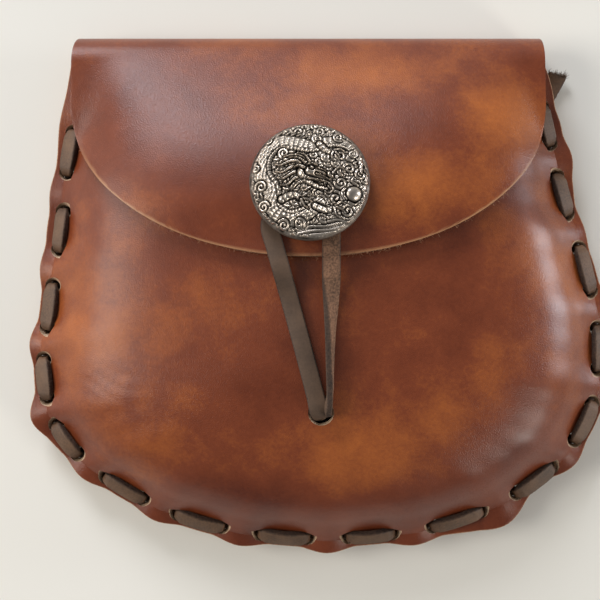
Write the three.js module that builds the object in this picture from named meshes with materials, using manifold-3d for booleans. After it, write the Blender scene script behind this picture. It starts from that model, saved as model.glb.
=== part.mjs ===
// A laced leather belt pouch lying on its back: a domed front, a back and flap in one piece, an edge lace,
// and a thong loop that closes over a concho. Millimetres: +X to the right, +Y towards the mouth,
// +Z up out of the front, and the origin on the back's resting face.
import * as THREE from "three";
import { mergeVertices } from "three/addons/utils/BufferGeometryUtils.js";
import Module from "manifold-3d";

const wasm = await Module();
wasm.setup();

// Leather and clearances
const LEATHER = 1.8; // thickness of the two panels
const GAP = 0.3; // air between neighbouring pieces

// Seam: one row for each front stitch, with its middle on the hole line, the distance between its two holes,
// and how strongly it gathers the leather
const STITCHES = [
  { x: -65.0, y: 37.4, span: 10.5, pull: 0.6 },
  { x: -67.0, y: 17.4, span: 9.9, pull: 0.7 },
  { x: -70.0, y: -2.8, span: 10.7, pull: 1.1 },
  { x: -71.5, y: -21.8, span: 9.7, pull: 1.1 },
  { x: -66.0, y: -37.9, span: 9.0, pull: 1.0 },
  { x: -50.4, y: -50.6, span: 10.8, pull: 1.0 },
  { x: -30.7, y: -59.1, span: 11.8, pull: 1.0 },
  { x: -8.4, y: -63.1, span: 12.0, pull: 1.2 },
  { x: 14.3, y: -62.9, span: 11.2, pull: 1.2 },
  { x: 37.0, y: -58.8, span: 12.8, pull: 1.0 },
  { x: 57.6, y: -48.6, span: 11.0, pull: 1.2 },
  { x: 70.8, y: -33.2, span: 10.4, pull: 0.9 },
  { x: 74.4, y: -13.8, span: 10.4, pull: 0.8 },
  { x: 70.8, y: 7.1, span: 11.2, pull: 0.9 },
  { x: 64.6, y: 26.6, span: 9.8, pull: 0.9 },
  { x: 60.5, y: 44.9, span: 9.5, pull: 0.7 },
];
const SEAM_END = STITCHES.length + 1; // seam station of the right mouth corner; stitches at 1, 2, 3 ...
const SEAM_STEPS_A_STITCH = 4;
const MOUTH = { y: 60, left: -60.2, right: 56.9, middle: -2.0 };
const LIP = { reach: 3.5, fade: 0.6 }; // front's reach into the fold, fading over stations from the mouth
const HOLE_RADIUS = 1.95; // punched lace holes
const HOLE_SIDES = 8;

// Front panel
// Leather outside the hole line, and its swing at the lobes
const FRONT_EDGE = { margin: 3.3, scallop: 0.5 };
// Places of the cut edge that reach further out or less far
const EDGE_DRIFT = [
  { station: 0.75, out: 0.8, spread: 0.2 },
  { station: 2.0, out: 1.0, spread: 0.4 },
  { station: 4.6, out: 1.7, spread: 0.32 },
  { station: 10.35, out: 2.4, spread: 0.4 },
  { station: 14.5, out: -1.0, spread: 0.3 },
  { station: 15.35, out: 1.3, spread: 0.45 },
  { station: 16.0, out: 0.9, spread: 0.3 },
  { station: 16.95, out: -1.8, spread: 0.25 },
];
// Height of the hole line on a stitch, and the lobes' rise between stitches, inside and at the cut edge
const FRONT_SEAM = { z: 5.9, puff: 3.0, edgePuff: 1.0 };
// Stations that lie flat on each side of a stitch, and inset share over which a lobe's rise dies away
const LOBE = { flat: 0.15, reach: 0.11 };
// Folds that run on from the lobes into the dome, as far as this inset share
const PUCKER = { rise: 0.6, end: 0.5 };
const SPINE_END = 4.6; // stations from each mouth corner after which the section lines meet in one point
const SPINE_LOW = { x: 1.0, y: -14 };
// Height of the front's middle line from the mouth (0) to the meeting point (1)
const SPINE = [
  { along: 0, z: 9.2 },
  { along: 0.2, z: 19.2 },
  { along: 0.4, z: 25.0 },
  { along: 0.6, z: 27.2 },
  { along: 0.8, z: 28.1 },
  { along: 1, z: 28.4 },
];
// Section of the dome from the hole line (0) to the middle line (1)
const SECTION = [
  { inset: 0, rise: 0 },
  { inset: 0.04, rise: 0.12 },
  { inset: 0.085, rise: 0.28 },
  { inset: 0.145, rise: 0.475 },
  { inset: 0.23, rise: 0.655 },
  { inset: 0.36, rise: 0.8 },
  { inset: 0.55, rise: 0.905 },
  { inset: 0.78, rise: 0.975 },
  { inset: 1, rise: 1 },
];
// The section is fuller by this rise near the mouth, dying away over these stations from its corners
const FULLNESS = { rise: 0.2, fade: 3.5 };
const FRONT_INSETS = [0, 0.04, 0.085, 0.145, 0.23, 0.36, 0.6, 1];
const THONG_HOLE = { x: 1.0, y: -28.9, radius: 3.0, sides: 12 };

// Back panel, fold and flap
const BACK_MARGIN = 2.9;
// The back's edge stands clear of the table, over the lace behind it
const BACK_RISE = { height: 2.8, run: 14, mouthFade: 0.35 };
const BACK_INSETS = [0, 0.1, 0.22, 0.55, 1];
const FOLD = { radius: 6.6, middle: -1.6, half: 59.9, steps: 7 };
const FLAP = { middle: -2.1, half: 60.9, straightTo: 50, tip: 9.6, straightRows: 4, ovalRows: 9 };
// Height of the flap over the front, between their middle surfaces, from where it is free of the fold
const FLAP_LIFT = { middle: 4.2, tip: 3.0, tipFrom: 24, tipRun: 12, blend: 3.0, freeFrom: 46 };

// Edge lace, a flat strip squeezed where it passes a hole, lying from the margin onto the dome's flank
const LACE = { half: 2.4, thick: 1.6, squeezed: 1.2, arch: 0.5, lift: 2.4, overhang: 1.35 };
// First end behind the back panel, as rows of distance before the first hole and share of the full width
const LACE_START = [
  { before: 7.0, width: 0.8 },
  { before: 2.8, width: 0.6 },
];
const LACE_BEHIND = { least: 0.1, share: 0.4 }; // how the lace lies in the gap under the back panel's rim
const LACE_SHARES = [0.22, 0.5, 0.78]; // places along a stitch
const LACE_AT_HOLE = { along: 0.3, end: 0.2, over: 1.8, out: 0.3, overTilt: 40, under: 1.15, underTilt: -8 };
// Loose tail at the last hole, round the back's edge; its width turns from across the seam to along it
const LACE_TAIL = [
  { x: 60.6, y: 51.6, z: 1.15, turn: 40 },
  { x: 62.2, y: 54.3, z: 1.2, turn: 36 },
  { x: 63.7, y: 57.0, z: 1.5, turn: 30 },
  { x: 64.6, y: 59.0, z: 2.4, turn: 24 },
];

// Concho: a domed button that stands off the flap on its boss
const CONCHO = { x: -1.8, y: 26.7, radius: 14.6, stand: 2.4, rim: 1.4, rise: 3.4, hollow: 3.0 };
const CONCHO_FACETS = { rings: 12, sides: 40 };
const CONCHO_EDGE = 0.45; // rounding of the concho's rim
const BOSS = { radius: 2.9, bore: 1.9, depth: 4.4, sides: 20 };
const SCREW = { head: 4.4, headThick: 1.0, shank: 1.6, length: 4.0, hole: 2.6, sides: 20 };
// Relief: a coiled dragon's body as a raised tapering ridge, from its tail to its neck
const RELIEF = { height: 0.9, headHeight: 1.2, edge: 1.3 };
const DRAGON = [
  { x: 11.4, y: 4.6, half: 0.5 },
  { x: 9.6, y: 8.4, half: 1.1 },
  { x: 5.2, y: 9.4, half: 1.6 },
  { x: 0.2, y: 8.4, half: 2.1 },
  { x: -5.2, y: 7.8, half: 2.6 },
  { x: -9.6, y: 4.2, half: 3.0 },
  { x: -9.8, y: -1.8, half: 3.0 },
  { x: -6.4, y: -6.6, half: 2.6 },
  { x: -1.6, y: -9.4, half: 2.0 },
  { x: 3.2, y: -9.2, half: 1.3 },
];
const DRAGON_HEAD = { x: 1.8, y: 0.9, long: 4.2, wide: 2.8 };
const PEARL = { x: 10.6, y: -3.6, radius: 1.9 };

// Closure thong: one row for each point, with its height over the leather under it and its roll from flat
const THONG = { half: 2.25, thick: 1.6, squeezed: 1.3 };
const THONG_LEFT = [
  { x: 0.7, y: -30.1, lift: -5.2, roll: 0 },
  { x: 0.7, y: -30.0, lift: -1.2, roll: 0 },
  { x: 0.5, y: -28.7, lift: 1.2, roll: 0 },
  { x: -0.4, y: -24.6, lift: 1.5, roll: 0 },
  { x: -3.4, y: -13.0, lift: 1.3, roll: 0 },
  { x: -6.95, y: 0.0, lift: 1.6, roll: 0 },
  { x: -8.8, y: 6.6, lift: 4.1, roll: 0 },
  { x: -10.3, y: 12.0, lift: 1.4, roll: 0 },
  { x: -11.3, y: 17.0, lift: 1.5, roll: 10 },
  { x: -9.3, y: 22.4, lift: 2.2, roll: 55 },
  { x: -6.5, y: 26.7, lift: 2.55, roll: 90 },
  { x: -5.2, y: 30.3, lift: 2.55, roll: 90 },
];
const THONG_RIGHT = [
  { x: -1.8, y: 31.8, lift: 2.55, roll: 90 },
  { x: 1.6, y: 30.3, lift: 2.55, roll: 90 },
  { x: 2.9, y: 26.7, lift: 2.55, roll: 92 },
  { x: 3.4, y: 21.0, lift: 2.2, roll: 130 },
  { x: 3.4, y: 15.5, lift: 1.4, roll: 175 },
  { x: 3.4, y: 11.0, lift: 1.4, roll: 180 },
  { x: 3.4, y: 6.0, lift: 4.1, roll: 172 },
  { x: 3.4, y: 0.0, lift: 2.4, roll: 140 },
  { x: 3.2, y: -8.0, lift: 2.5, roll: 112 },
  { x: 3.1, y: -18.0, lift: 2.5, roll: 98 },
  { x: 3.1, y: -24.0, lift: 2.5, roll: 92 },
  { x: 2.3, y: -27.8, lift: 2.8, roll: 72 },
  { x: 2.42, y: -27.9, lift: -1.2, roll: 50 },
  { x: 2.3, y: -28.0, lift: -5.2, roll: 50 },
];
const KNOT = { radius: 3.4, below: 5.6, detail: 1 };

// Finishes
const FINISHES = {
  leather: { color: 0x6e3a1e, roughness: 0.5, metalness: 0 },
  flap: { color: 0x6a381d, roughness: 0.48, metalness: 0 },
  lace: { color: 0x4b3423, roughness: 0.6, metalness: 0 },
  thong: { color: 0x54402f, roughness: 0.65, metalness: 0 },
  silver: { color: 0x9a9a9c, roughness: 0.35, metalness: 1 },
  steel: { color: 0x8a8a8c, roughness: 0.4, metalness: 1 },
};

const UP = new THREE.Vector3(0, 0, 1);
const FOLD_TOP = 0.5 * LEATHER + 2 * FOLD.radius; // flap's middle surface at the top of the fold
// Outlines of the strips, in half widths and half thicknesses
const SQUARE_CUT = [[1, 1], [-1, 1], [-1, -1], [1, -1]];
const ROUNDED = [[1, 0], [0.75, 1], [-0.75, 1], [-1, 0], [-0.75, -1], [0.75, -1]];

function clamp(value, low, high) {
  return Math.min(high, Math.max(low, value));
}

function smoothStep(value) {
  const t = clamp(value, 0, 1);
  return t * t * (3 - 2 * t);
}

// The larger of two values, with the change from one to the other rounded off.
function softMax(a, b, blend) {
  return 0.5 * (a + b + Math.hypot(a - b, blend));
}

// Smooth reading of a table: rows in rising order of the column `by`, giving the column `of`.
function lookUp(rows, by, of, value) {
  const last = rows.length - 1;
  const slope = (k) => {
    const before = rows[Math.max(k - 1, 0)];
    const after = rows[Math.min(k + 1, last)];
    return (after[of] - before[of]) / (after[by] - before[by]);
  };
  let k = 0;
  while (k < last - 1 && value > rows[k + 1][by]) k += 1;
  const width = rows[k + 1][by] - rows[k][by];
  const t = clamp((value - rows[k][by]) / width, 0, 1);
  const easeIn = t * t * (3 - 2 * t);
  const lead = t * (1 - t) * (1 - t) * width * slope(k);
  const tail = t * t * (t - 1) * width * slope(k + 1);
  return rows[k][of] * (1 - easeIn) + rows[k + 1][of] * easeIn + lead + tail;
}

// Seam and section lines
const seamCurve = new THREE.SplineCurve([
  new THREE.Vector2(MOUTH.left, MOUTH.y),
  ...STITCHES.map((row) => new THREE.Vector2(row.x, row.y)),
  new THREE.Vector2(MOUTH.right, MOUTH.y),
]);

function seamPoint(station) {
  return seamCurve.getPoint(station / SEAM_END);
}

function seamTangent(station) {
  const step = 0.02;
  const before = seamPoint(Math.max(station - step, 0));
  return seamPoint(Math.min(station + step, SEAM_END)).sub(before).normalize();
}

function seamOutward(station) {
  const along = seamTangent(station);
  return new THREE.Vector2(along.y, -along.x);
}

function nearMouth(station) {
  return Math.min(station, SEAM_END - station);
}

function spineShare(station) {
  return clamp(nearMouth(station) / SPINE_END, 0, 1);
}

function spinePoint(station) {
  const top = new THREE.Vector2(MOUTH.middle, MOUTH.y);
  return top.lerp(new THREE.Vector2(SPINE_LOW.x, SPINE_LOW.y), spineShare(station));
}

function pullAt(station) {
  const place = clamp(station, 1, STITCHES.length) - 1;
  const k = Math.min(Math.floor(place), STITCHES.length - 2);
  return THREE.MathUtils.lerp(STITCHES[k].pull, STITCHES[k + 1].pull, place - k);
}

// Puff of the gathered leather: 0 along a stitch, the pull half way between two and on to the mouth corners.
function lobeAt(station) {
  const between = clamp(station, 0.5, SEAM_END - 0.5);
  const away = Math.abs(between - Math.round(between));
  return smoothStep((away - LOBE.flat) / (0.5 - LOBE.flat)) * pullAt(station);
}

// Height of the front's middle surface at a seam station and an inset share; below 0 is the cut edge.
function frontSection(station, inset) {
  const lobe = lobeAt(station);
  if (inset < 0) return FRONT_SEAM.z + FRONT_SEAM.edgePuff * lobe;
  const top = lookUp(SPINE, "along", "z", spineShare(station));
  const full = FULLNESS.rise * (1 - smoothStep(nearMouth(station) / FULLNESS.fade));
  const bulge = (27 / 4) * inset * (1 - inset) ** 2; // 1 at its highest place
  const share = lookUp(SECTION, "inset", "rise", inset) + full * bulge;
  const dome = FRONT_SEAM.z + (top - FRONT_SEAM.z) * share;
  const puff = FRONT_SEAM.puff * lobe * Math.exp(-((inset / LOBE.reach) ** 2));
  const fade = smoothStep(inset / LOBE.reach) * (1 - smoothStep(inset / PUCKER.end));
  return dome + puff + PUCKER.rise * fade * (lobe - 0.5 * pullAt(station));
}

// Height of the front's middle surface over a point of the plan.
function frontHeight(x, y) {
  let low = 0;
  let high = SEAM_END;
  const rayAt = (station) => {
    const root = spinePoint(station);
    return { root, ray: seamPoint(station).sub(root) };
  };
  const halvings = 30;
  for (let k = 0; k < halvings; k += 1) {
    const station = 0.5 * (low + high);
    const { root, ray } = rayAt(station);
    if (ray.x * (y - root.y) - ray.y * (x - root.x) > 0) low = station;
    else high = station;
  }
  const station = 0.5 * (low + high);
  const { root, ray } = rayAt(station);
  const reach = ((x - root.x) * ray.x + (y - root.y) * ray.y) / ray.lengthSq();
  return frontSection(station, clamp(1 - reach, 0, 1));
}

// Height of the flap's middle surface where it lies over the front, clear of the fold.
function overFrontHeight(x, y) {
  const towardsTip = smoothStep((FLAP_LIFT.tipFrom - y) / FLAP_LIFT.tipRun);
  const lift = THREE.MathUtils.lerp(FLAP_LIFT.middle, FLAP_LIFT.tip, towardsTip);
  return softMax(FOLD_TOP, frontHeight(x, y) + lift, FLAP_LIFT.blend);
}

// Angle that the fold turns through before the flap leaves it, rising towards the dome.
function foldTurn(x) {
  const rise = Math.max(0, overFrontHeight(x, FLAP_LIFT.freeFrom) - FOLD_TOP);
  return Math.PI - Math.atan(rise / (MOUTH.y - FLAP_LIFT.freeFrom));
}

// A place on the fold's arc.
function foldPlace(turn) {
  const y = MOUTH.y + FOLD.radius * Math.sin(turn);
  return { y, z: 0.5 * LEATHER + FOLD.radius * (1 - Math.cos(turn)) };
}

// Height of the flap's middle surface, from where it leaves the fold.
function flapHeight(x, y) {
  const free = FLAP_LIFT.freeFrom;
  if (y <= free) return overFrontHeight(x, y);
  const turn = foldTurn(x);
  const start = foldPlace(turn);
  const step = 0.5;
  const slope = (overFrontHeight(x, free + step) - overFrontHeight(x, free - step)) / (2 * step);
  const run = start.y - free;
  const t = clamp((y - free) / run, 0, 1);
  const bridge = THREE.MathUtils.lerp(overFrontHeight(x, free), start.z, smoothStep(t));
  return bridge + run * (t * (1 - t) ** 2 * slope + t * t * (t - 1) * Math.tan(turn));
}

// Meshes and solids
function surfaceOf(positions, triangles) {
  const geometry = new THREE.BufferGeometry();
  geometry.setAttribute("position", new THREE.Float32BufferAttribute(positions, 3));
  geometry.setIndex(triangles);
  const merged = mergeVertices(geometry, 1e-3);
  const kept = [];
  for (let k = 0; k < merged.index.count; k += 3) {
    const [a, b, c] = [merged.index.getX(k), merged.index.getX(k + 1), merged.index.getX(k + 2)];
    if (a !== b && b !== c && a !== c) kept.push(a, b, c);
  }
  merged.setIndex(kept);
  return merged;
}

// Two triangles for each cell of a grid of rows and columns.
function gridTriangles(rows, columns) {
  const triangles = [];
  for (let r = 0; r < rows - 1; r += 1) {
    for (let c = 0; c < columns - 1; c += 1) {
      const a = r * columns + c;
      triangles.push(a, a + columns, a + 1, a + 1, a + columns, a + columns + 1);
    }
  }
  return triangles;
}

// A sheet of even thickness about a middle surface, closed round its edges.
function thicken(surface, thickness) {
  surface.computeVertexNormals();
  const count = surface.attributes.position.count;
  const positions = [];
  for (const side of [0.5, -0.5]) {
    for (let k = 0; k < count; k += 1) {
      const point = new THREE.Vector3().fromBufferAttribute(surface.attributes.position, k);
      const normal = new THREE.Vector3().fromBufferAttribute(surface.attributes.normal, k);
      positions.push(...point.addScaledVector(normal, side * thickness).toArray());
    }
  }
  const index = Array.from(surface.index.array);
  const triangles = [];
  const edges = new Set();
  for (let k = 0; k < index.length; k += 3) {
    const corners = index.slice(k, k + 3);
    triangles.push(...corners, corners[2] + count, corners[1] + count, corners[0] + count);
    corners.forEach((corner, n) => edges.add(`${corner},${corners[(n + 1) % 3]}`));
  }
  for (const edge of edges) {
    const [a, b] = edge.split(",").map(Number);
    if (!edges.has(`${b},${a}`)) triangles.push(b, a, a + count, b, a + count, b + count);
  }
  return surfaceOf(positions, triangles);
}

function toManifold(geometry) {
  const bare = new THREE.BufferGeometry();
  bare.setAttribute("position", geometry.attributes.position);
  bare.setIndex(geometry.index);
  const merged = surfaceOf(Array.from(bare.attributes.position.array), Array.from(bare.index.array));
  return new wasm.Manifold(
    new wasm.Mesh({
      numProp: 3,
      vertProperties: new Float32Array(merged.attributes.position.array),
      triVerts: new Uint32Array(merged.index.array),
    }),
  );
}

function fromManifold(solid) {
  const mesh = solid.getMesh();
  const geometry = new THREE.BufferGeometry();
  geometry.setAttribute("position", new THREE.Float32BufferAttribute(mesh.vertProperties, 3));
  geometry.setIndex(Array.from(mesh.triVerts));
  return geometry;
}

function meshOf(name, geometry, finish) {
  const mesh = new THREE.Mesh(geometry, new THREE.MeshStandardMaterial(finish));
  mesh.name = name;
  return mesh;
}

// An upright cylinder between two heights.
function post(x, y, radius, low, high, sides) {
  const geometry = new THREE.CylinderGeometry(radius, radius, high - low, sides);
  geometry.rotateX(Math.PI / 2);
  geometry.translate(x, y, 0.5 * (low + high));
  return geometry;
}

// Punched holes
function holeStations() {
  return STITCHES.flatMap((row, k) => {
    const step = 0.25;
    const speed = seamPoint(k + 1 + step).sub(seamPoint(k + 1 - step)).length() / (2 * step);
    const reach = (0.5 * row.span) / speed;
    return [k + 1 - reach, k + 1 + reach];
  });
}

function punch(geometry, holes) {
  return fromManifold(holes.reduce((solid, hole) => solid.subtract(toManifold(hole)), toManifold(geometry)));
}

function laceHoles(high) {
  return holeStations().map((station) => {
    const { x, y } = seamPoint(station);
    return post(x, y, HOLE_RADIUS, -LEATHER, high, HOLE_SIDES);
  });
}

// Panels
function frontPoint(station, inset) {
  const seam = seamPoint(station);
  const root = spinePoint(station);
  const lip = LIP.reach * (1 - smoothStep(nearMouth(station) / LIP.fade));
  let margin = FRONT_EDGE.margin + FRONT_EDGE.scallop * (2 * lobeAt(station) - pullAt(station));
  for (const row of EDGE_DRIFT) {
    margin += row.out * Math.exp(-(((station - row.station) / row.spread) ** 2));
  }
  const plan = inset < 0 ? seam.addScaledVector(seamOutward(station), margin) : seam.lerp(root, inset);
  return [plan.x, plan.y + lip, frontSection(station, inset)];
}

function backHeight(station, inset) {
  const run = seamPoint(station).distanceTo(spinePoint(station)) * inset;
  const fade = smoothStep(nearMouth(station) / BACK_RISE.mouthFade);
  return 0.5 * LEATHER + BACK_RISE.height * fade * (1 - smoothStep(run / BACK_RISE.run));
}

function backPoint(station, inset) {
  const seam = seamPoint(station);
  const outward = nearMouth(station) > 0 ? seamOutward(station) : new THREE.Vector2(station > 1 ? 1 : -1, 0);
  const plan = inset < 0 ? seam.addScaledVector(outward, BACK_MARGIN) : seam.lerp(spinePoint(station), inset);
  return [plan.x, plan.y, backHeight(station, Math.max(inset, 0))];
}

// Rows of points from the cut edge to the spine, one row for each seam station.
function panelRows(insets, pointAt) {
  const steps = SEAM_END * SEAM_STEPS_A_STITCH;
  const rows = [];
  for (let k = 0; k <= steps; k += 1) {
    rows.push([-1, ...insets].map((inset) => pointAt(k / SEAM_STEPS_A_STITCH, inset)));
  }
  return rows;
}

function frontPanel() {
  const rows = panelRows(FRONT_INSETS, frontPoint);
  const surface = surfaceOf(rows.flat(2), gridTriangles(rows.length, rows[0].length));
  const { x, y, radius, sides } = THONG_HOLE;
  const middle = frontHeight(x, y);
  const thongHole = post(x, y, radius, middle - 3 * LEATHER, middle + 3 * LEATHER, sides);
  return punch(thicken(surface, LEATHER), [...laceHoles(2 * middle), thongHole]);
}

// Rows of the fold and the flap, with the columns of the back's mouth row.
function flapRows(mouthRow) {
  const left = mouthRow[0][0];
  const right = mouthRow[mouthRow.length - 1][0];
  const columns = mouthRow.map(([x]) => (2 * x - left - right) / (right - left));
  const rows = [];
  const across = (c) => FLAP.middle + c * FLAP.half;
  for (let k = 0; k < FOLD.steps; k += 1) {
    rows.push(columns.map((c) => {
      const turn = (foldTurn(across(c)) * k) / FOLD.steps;
      const begin = Math.max(0, Math.cos(turn));
      const finish = Math.max(0, -Math.cos(turn));
      const bend = 1 - begin - finish;
      const middle = begin * 0.5 * (left + right) + bend * FOLD.middle + finish * FLAP.middle;
      const half = begin * 0.5 * (right - left) + bend * FOLD.half + finish * FLAP.half;
      const { y, z } = foldPlace(turn);
      return [middle + c * half, y, z];
    }));
  }
  for (let k = 0; k < FLAP.straightRows; k += 1) {
    rows.push(columns.map((c) => {
      const x = across(c);
      const y = THREE.MathUtils.lerp(foldPlace(foldTurn(x)).y, FLAP.straightTo, k / FLAP.straightRows);
      return [x, y, flapHeight(x, y)];
    }));
  }
  const row = (y, half) => columns.map((c) => {
    const x = FLAP.middle + c * half;
    return [x, y, flapHeight(x, y)];
  });
  for (let k = 0; k <= FLAP.ovalRows; k += 1) {
    const turn = (0.5 * Math.PI * k) / FLAP.ovalRows;
    const y = FLAP.straightTo + (FLAP.tip - FLAP.straightTo) * Math.sin(turn);
    rows.push(row(y, k < FLAP.ovalRows ? FLAP.half * Math.cos(turn) : 0));
  }
  return rows;
}

function backPanelAndFlap() {
  const rows = panelRows(BACK_INSETS, backPoint);
  const mouthRow = [...rows[0], ...rows[rows.length - 1].slice(0, -1).reverse()];
  const flap = flapRows(mouthRow);
  const back = rows.flat();
  const flapTriangles = gridTriangles(flap.length, mouthRow.length).map((corner) => corner + back.length);
  for (let k = 0; k < flapTriangles.length; k += 3) {
    [flapTriangles[k + 1], flapTriangles[k + 2]] = [flapTriangles[k + 2], flapTriangles[k + 1]];
  }
  const triangles = [...gridTriangles(rows.length, rows[0].length), ...flapTriangles];
  const surface = surfaceOf([...back, ...flap.flat()].flat(), triangles);
  const { x, y } = CONCHO;
  const middle = flapHeight(x, y);
  const screwHole = post(x, y, SCREW.hole, middle - 3 * LEATHER, middle + 3 * LEATHER, SCREW.sides);
  const underFlap = 0.5 * LEATHER + FOLD.radius;
  return punch(thicken(surface, LEATHER), [...laceHoles(underFlap), screwHole]);
}

// A flat strip along stations of a point, a width direction, a half width and a half thickness.
function ribbon(stations, corners) {
  const positions = [];
  stations.forEach(({ point, across, half, thick }, k) => {
    const before = stations[Math.max(k - 1, 0)].point;
    const after = stations[Math.min(k + 1, stations.length - 1)].point;
    const along = after.clone().sub(before).normalize();
    const width = across.clone().addScaledVector(along, -across.dot(along)).normalize();
    const depth = along.clone().cross(width);
    for (const [a, b] of corners) {
      const corner = point.clone().addScaledVector(width, a * half).addScaledVector(depth, b * thick);
      positions.push(...corner.toArray());
    }
  });
  const sides = corners.length;
  const triangles = [];
  for (let k = 0; k < stations.length - 1; k += 1) {
    for (let n = 0; n < sides; n += 1) {
      const a = k * sides + n;
      const b = k * sides + ((n + 1) % sides);
      triangles.push(a, b, b + sides, a, b + sides, a + sides);
    }
  }
  const end = (stations.length - 1) * sides;
  for (let n = 1; n < sides - 1; n += 1) {
    triangles.push(0, n + 1, n, end, end + n, end + n + 1);
  }
  return surfaceOf(positions, triangles);
}

// Lace
function laceStation(station, offset, z, share, tilt = 0, outset = 0) {
  const outward = seamOutward(station);
  const plan = seamPoint(station).addScaledVector(seamTangent(station), offset);
  plan.addScaledVector(outward, outset);
  const lean = THREE.MathUtils.degToRad(tilt);
  const across = new THREE.Vector3(-outward.x, -outward.y, 0).multiplyScalar(Math.cos(lean));
  across.addScaledVector(UP, Math.sin(lean));
  const half = THREE.MathUtils.lerp(LACE.squeezed, LACE.half, share);
  return { point: new THREE.Vector3(plan.x, plan.y, z), across, half, thick: 0.5 * LACE.thick };
}

// How the lace lies half way over a stitch: its distance out of the pouch, its height and its tilt.
function laceLying(station) {
  const length = seamPoint(station).distanceTo(spinePoint(station));
  const margin = frontSection(station, 0) + 0.5 * LEATHER;
  const samples = 96;
  const step = (2 * LACE.half) / samples;
  let best = { miss: Infinity };
  for (let k = 0; k <= samples; k += 1) {
    const inner = k * step;
    const middle = frontSection(station, inner / length);
    const slope = Math.atan((frontSection(station, (inner + step) / length) - middle) / step);
    const run = LACE.overhang + inner - 0.5 * LEATHER * Math.sin(slope);
    const rise = middle + 0.5 * LEATHER * Math.cos(slope) - margin;
    const miss = Math.abs(Math.hypot(run, rise) - 2 * LACE.half);
    if (miss < best.miss) best = { miss, run, rise };
  }
  const tilt = Math.atan2(best.rise, best.run);
  const clear = 0.5 * LACE.thick + GAP;
  const outset = LACE.overhang - 0.5 * best.run + clear * Math.sin(tilt);
  const z = margin + 0.5 * best.rise + clear * Math.cos(tilt);
  return { outset, z, tilt: THREE.MathUtils.radToDeg(tilt) };
}

function edgeLace() {
  const stations = [];
  const holes = holeStations();
  const overFront = (station) => frontSection(station, 0) + 0.5 * LEATHER;
  const underBack = (station) => backHeight(station, 0) - 0.5 * LEATHER;
  const behind = (station) => {
    const room = underBack(station) - LACE.thick - GAP;
    return 0.5 * LACE.thick + Math.max(LACE_BEHIND.least, LACE_BEHIND.share * room);
  };
  const through = (station) => 0.5 * (overFront(station) + underBack(station));
  const { along, end, over, out, overTilt, under, underTilt } = LACE_AT_HOLE;
  const passHole = (station, way) => {
    const bends = [
      laceStation(station, -way * (end + along), underBack(station) - under, 0, underTilt),
      laceStation(station, -way * end, through(station), 0),
      laceStation(station, way * (along - end), overFront(station) + over, 0, overTilt, out),
    ];
    stations.push(...(way > 0 ? bends : bends.reverse()));
  };
  const first = holes[0];
  for (const { before, width } of LACE_START) {
    stations.push(laceStation(first, -before, behind(first), width));
  }
  for (let k = 0; k < holes.length; k += 2) {
    const [from, to] = [holes[k], holes[k + 1]];
    passHole(from, 1);
    const lying = laceLying(0.5 * (from + to));
    for (const share of LACE_SHARES) {
      const station = THREE.MathUtils.lerp(from, to, share);
      const ends = THREE.MathUtils.lerp(overFront(from), overFront(to), share) + LACE.lift;
      const bow = 1 - (2 * share - 1) ** 2;
      const z = ends + Math.max(LACE.arch, lying.z - ends) * bow;
      const width = Math.sqrt(bow);
      const tilt = THREE.MathUtils.lerp(overTilt, lying.tilt, bow);
      stations.push(laceStation(station, 0, z, width, tilt, lying.outset * Math.sqrt(bow)));
    }
    passHole(to, -1);
    if (k + 2 < holes.length) {
      const middle = 0.5 * (to + holes[k + 2]);
      stations.push(laceStation(middle, 0, behind(middle), 0.8, underTilt));
    }
  }
  const outward = seamOutward(holes[holes.length - 1]);
  const inward = new THREE.Vector3(-outward.x, -outward.y, 0);
  for (const row of LACE_TAIL) {
    const across = inward.clone().applyAxisAngle(UP, THREE.MathUtils.degToRad(-row.turn));
    const point = new THREE.Vector3(row.x, row.y, row.z);
    stations.push({ point, across, half: LACE.half, thick: 0.5 * LACE.thick });
  }
  return ribbon(stations, SQUARE_CUT);
}

// Thong: the loop and its knot as one solid
function onFlap(x, y) {
  const drop = (FLAP.straightTo - y) / (FLAP.straightTo - FLAP.tip);
  const reach = (x - FLAP.middle) / FLAP.half;
  return y > FLAP.straightTo || drop ** 2 + reach ** 2 < 1;
}

function outerHeight(x, y) {
  return (onFlap(x, y) ? flapHeight(x, y) : frontHeight(x, y)) + 0.5 * LEATHER;
}

function thongStations(rows) {
  const points = rows.map((row) => new THREE.Vector3(row.x, row.y, outerHeight(row.x, row.y) + row.lift));
  return rows.map((row, k) => {
    const before = points[Math.max(k - 1, 0)];
    const along = points[Math.min(k + 1, rows.length - 1)].clone().sub(before).normalize();
    const flat = UP.clone().cross(along).normalize();
    const across = flat.applyAxisAngle(along, THREE.MathUtils.degToRad(row.roll));
    const half = row.lift < 0 ? THONG.squeezed : THONG.half;
    return { point: points[k], across, half, thick: 0.5 * THONG.thick };
  });
}

function closureThong() {
  const loop = ribbon(thongStations([...THONG_LEFT, ...THONG_RIGHT]), ROUNDED);
  const knot = new THREE.IcosahedronGeometry(KNOT.radius, KNOT.detail);
  const { x, y } = THONG_HOLE;
  knot.translate(x, y, frontHeight(x, y) - KNOT.below);
  knot.setIndex(Array.from({ length: knot.attributes.position.count }, (_, k) => k));
  return fromManifold(toManifold(loop).add(toManifold(knot)));
}

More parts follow.
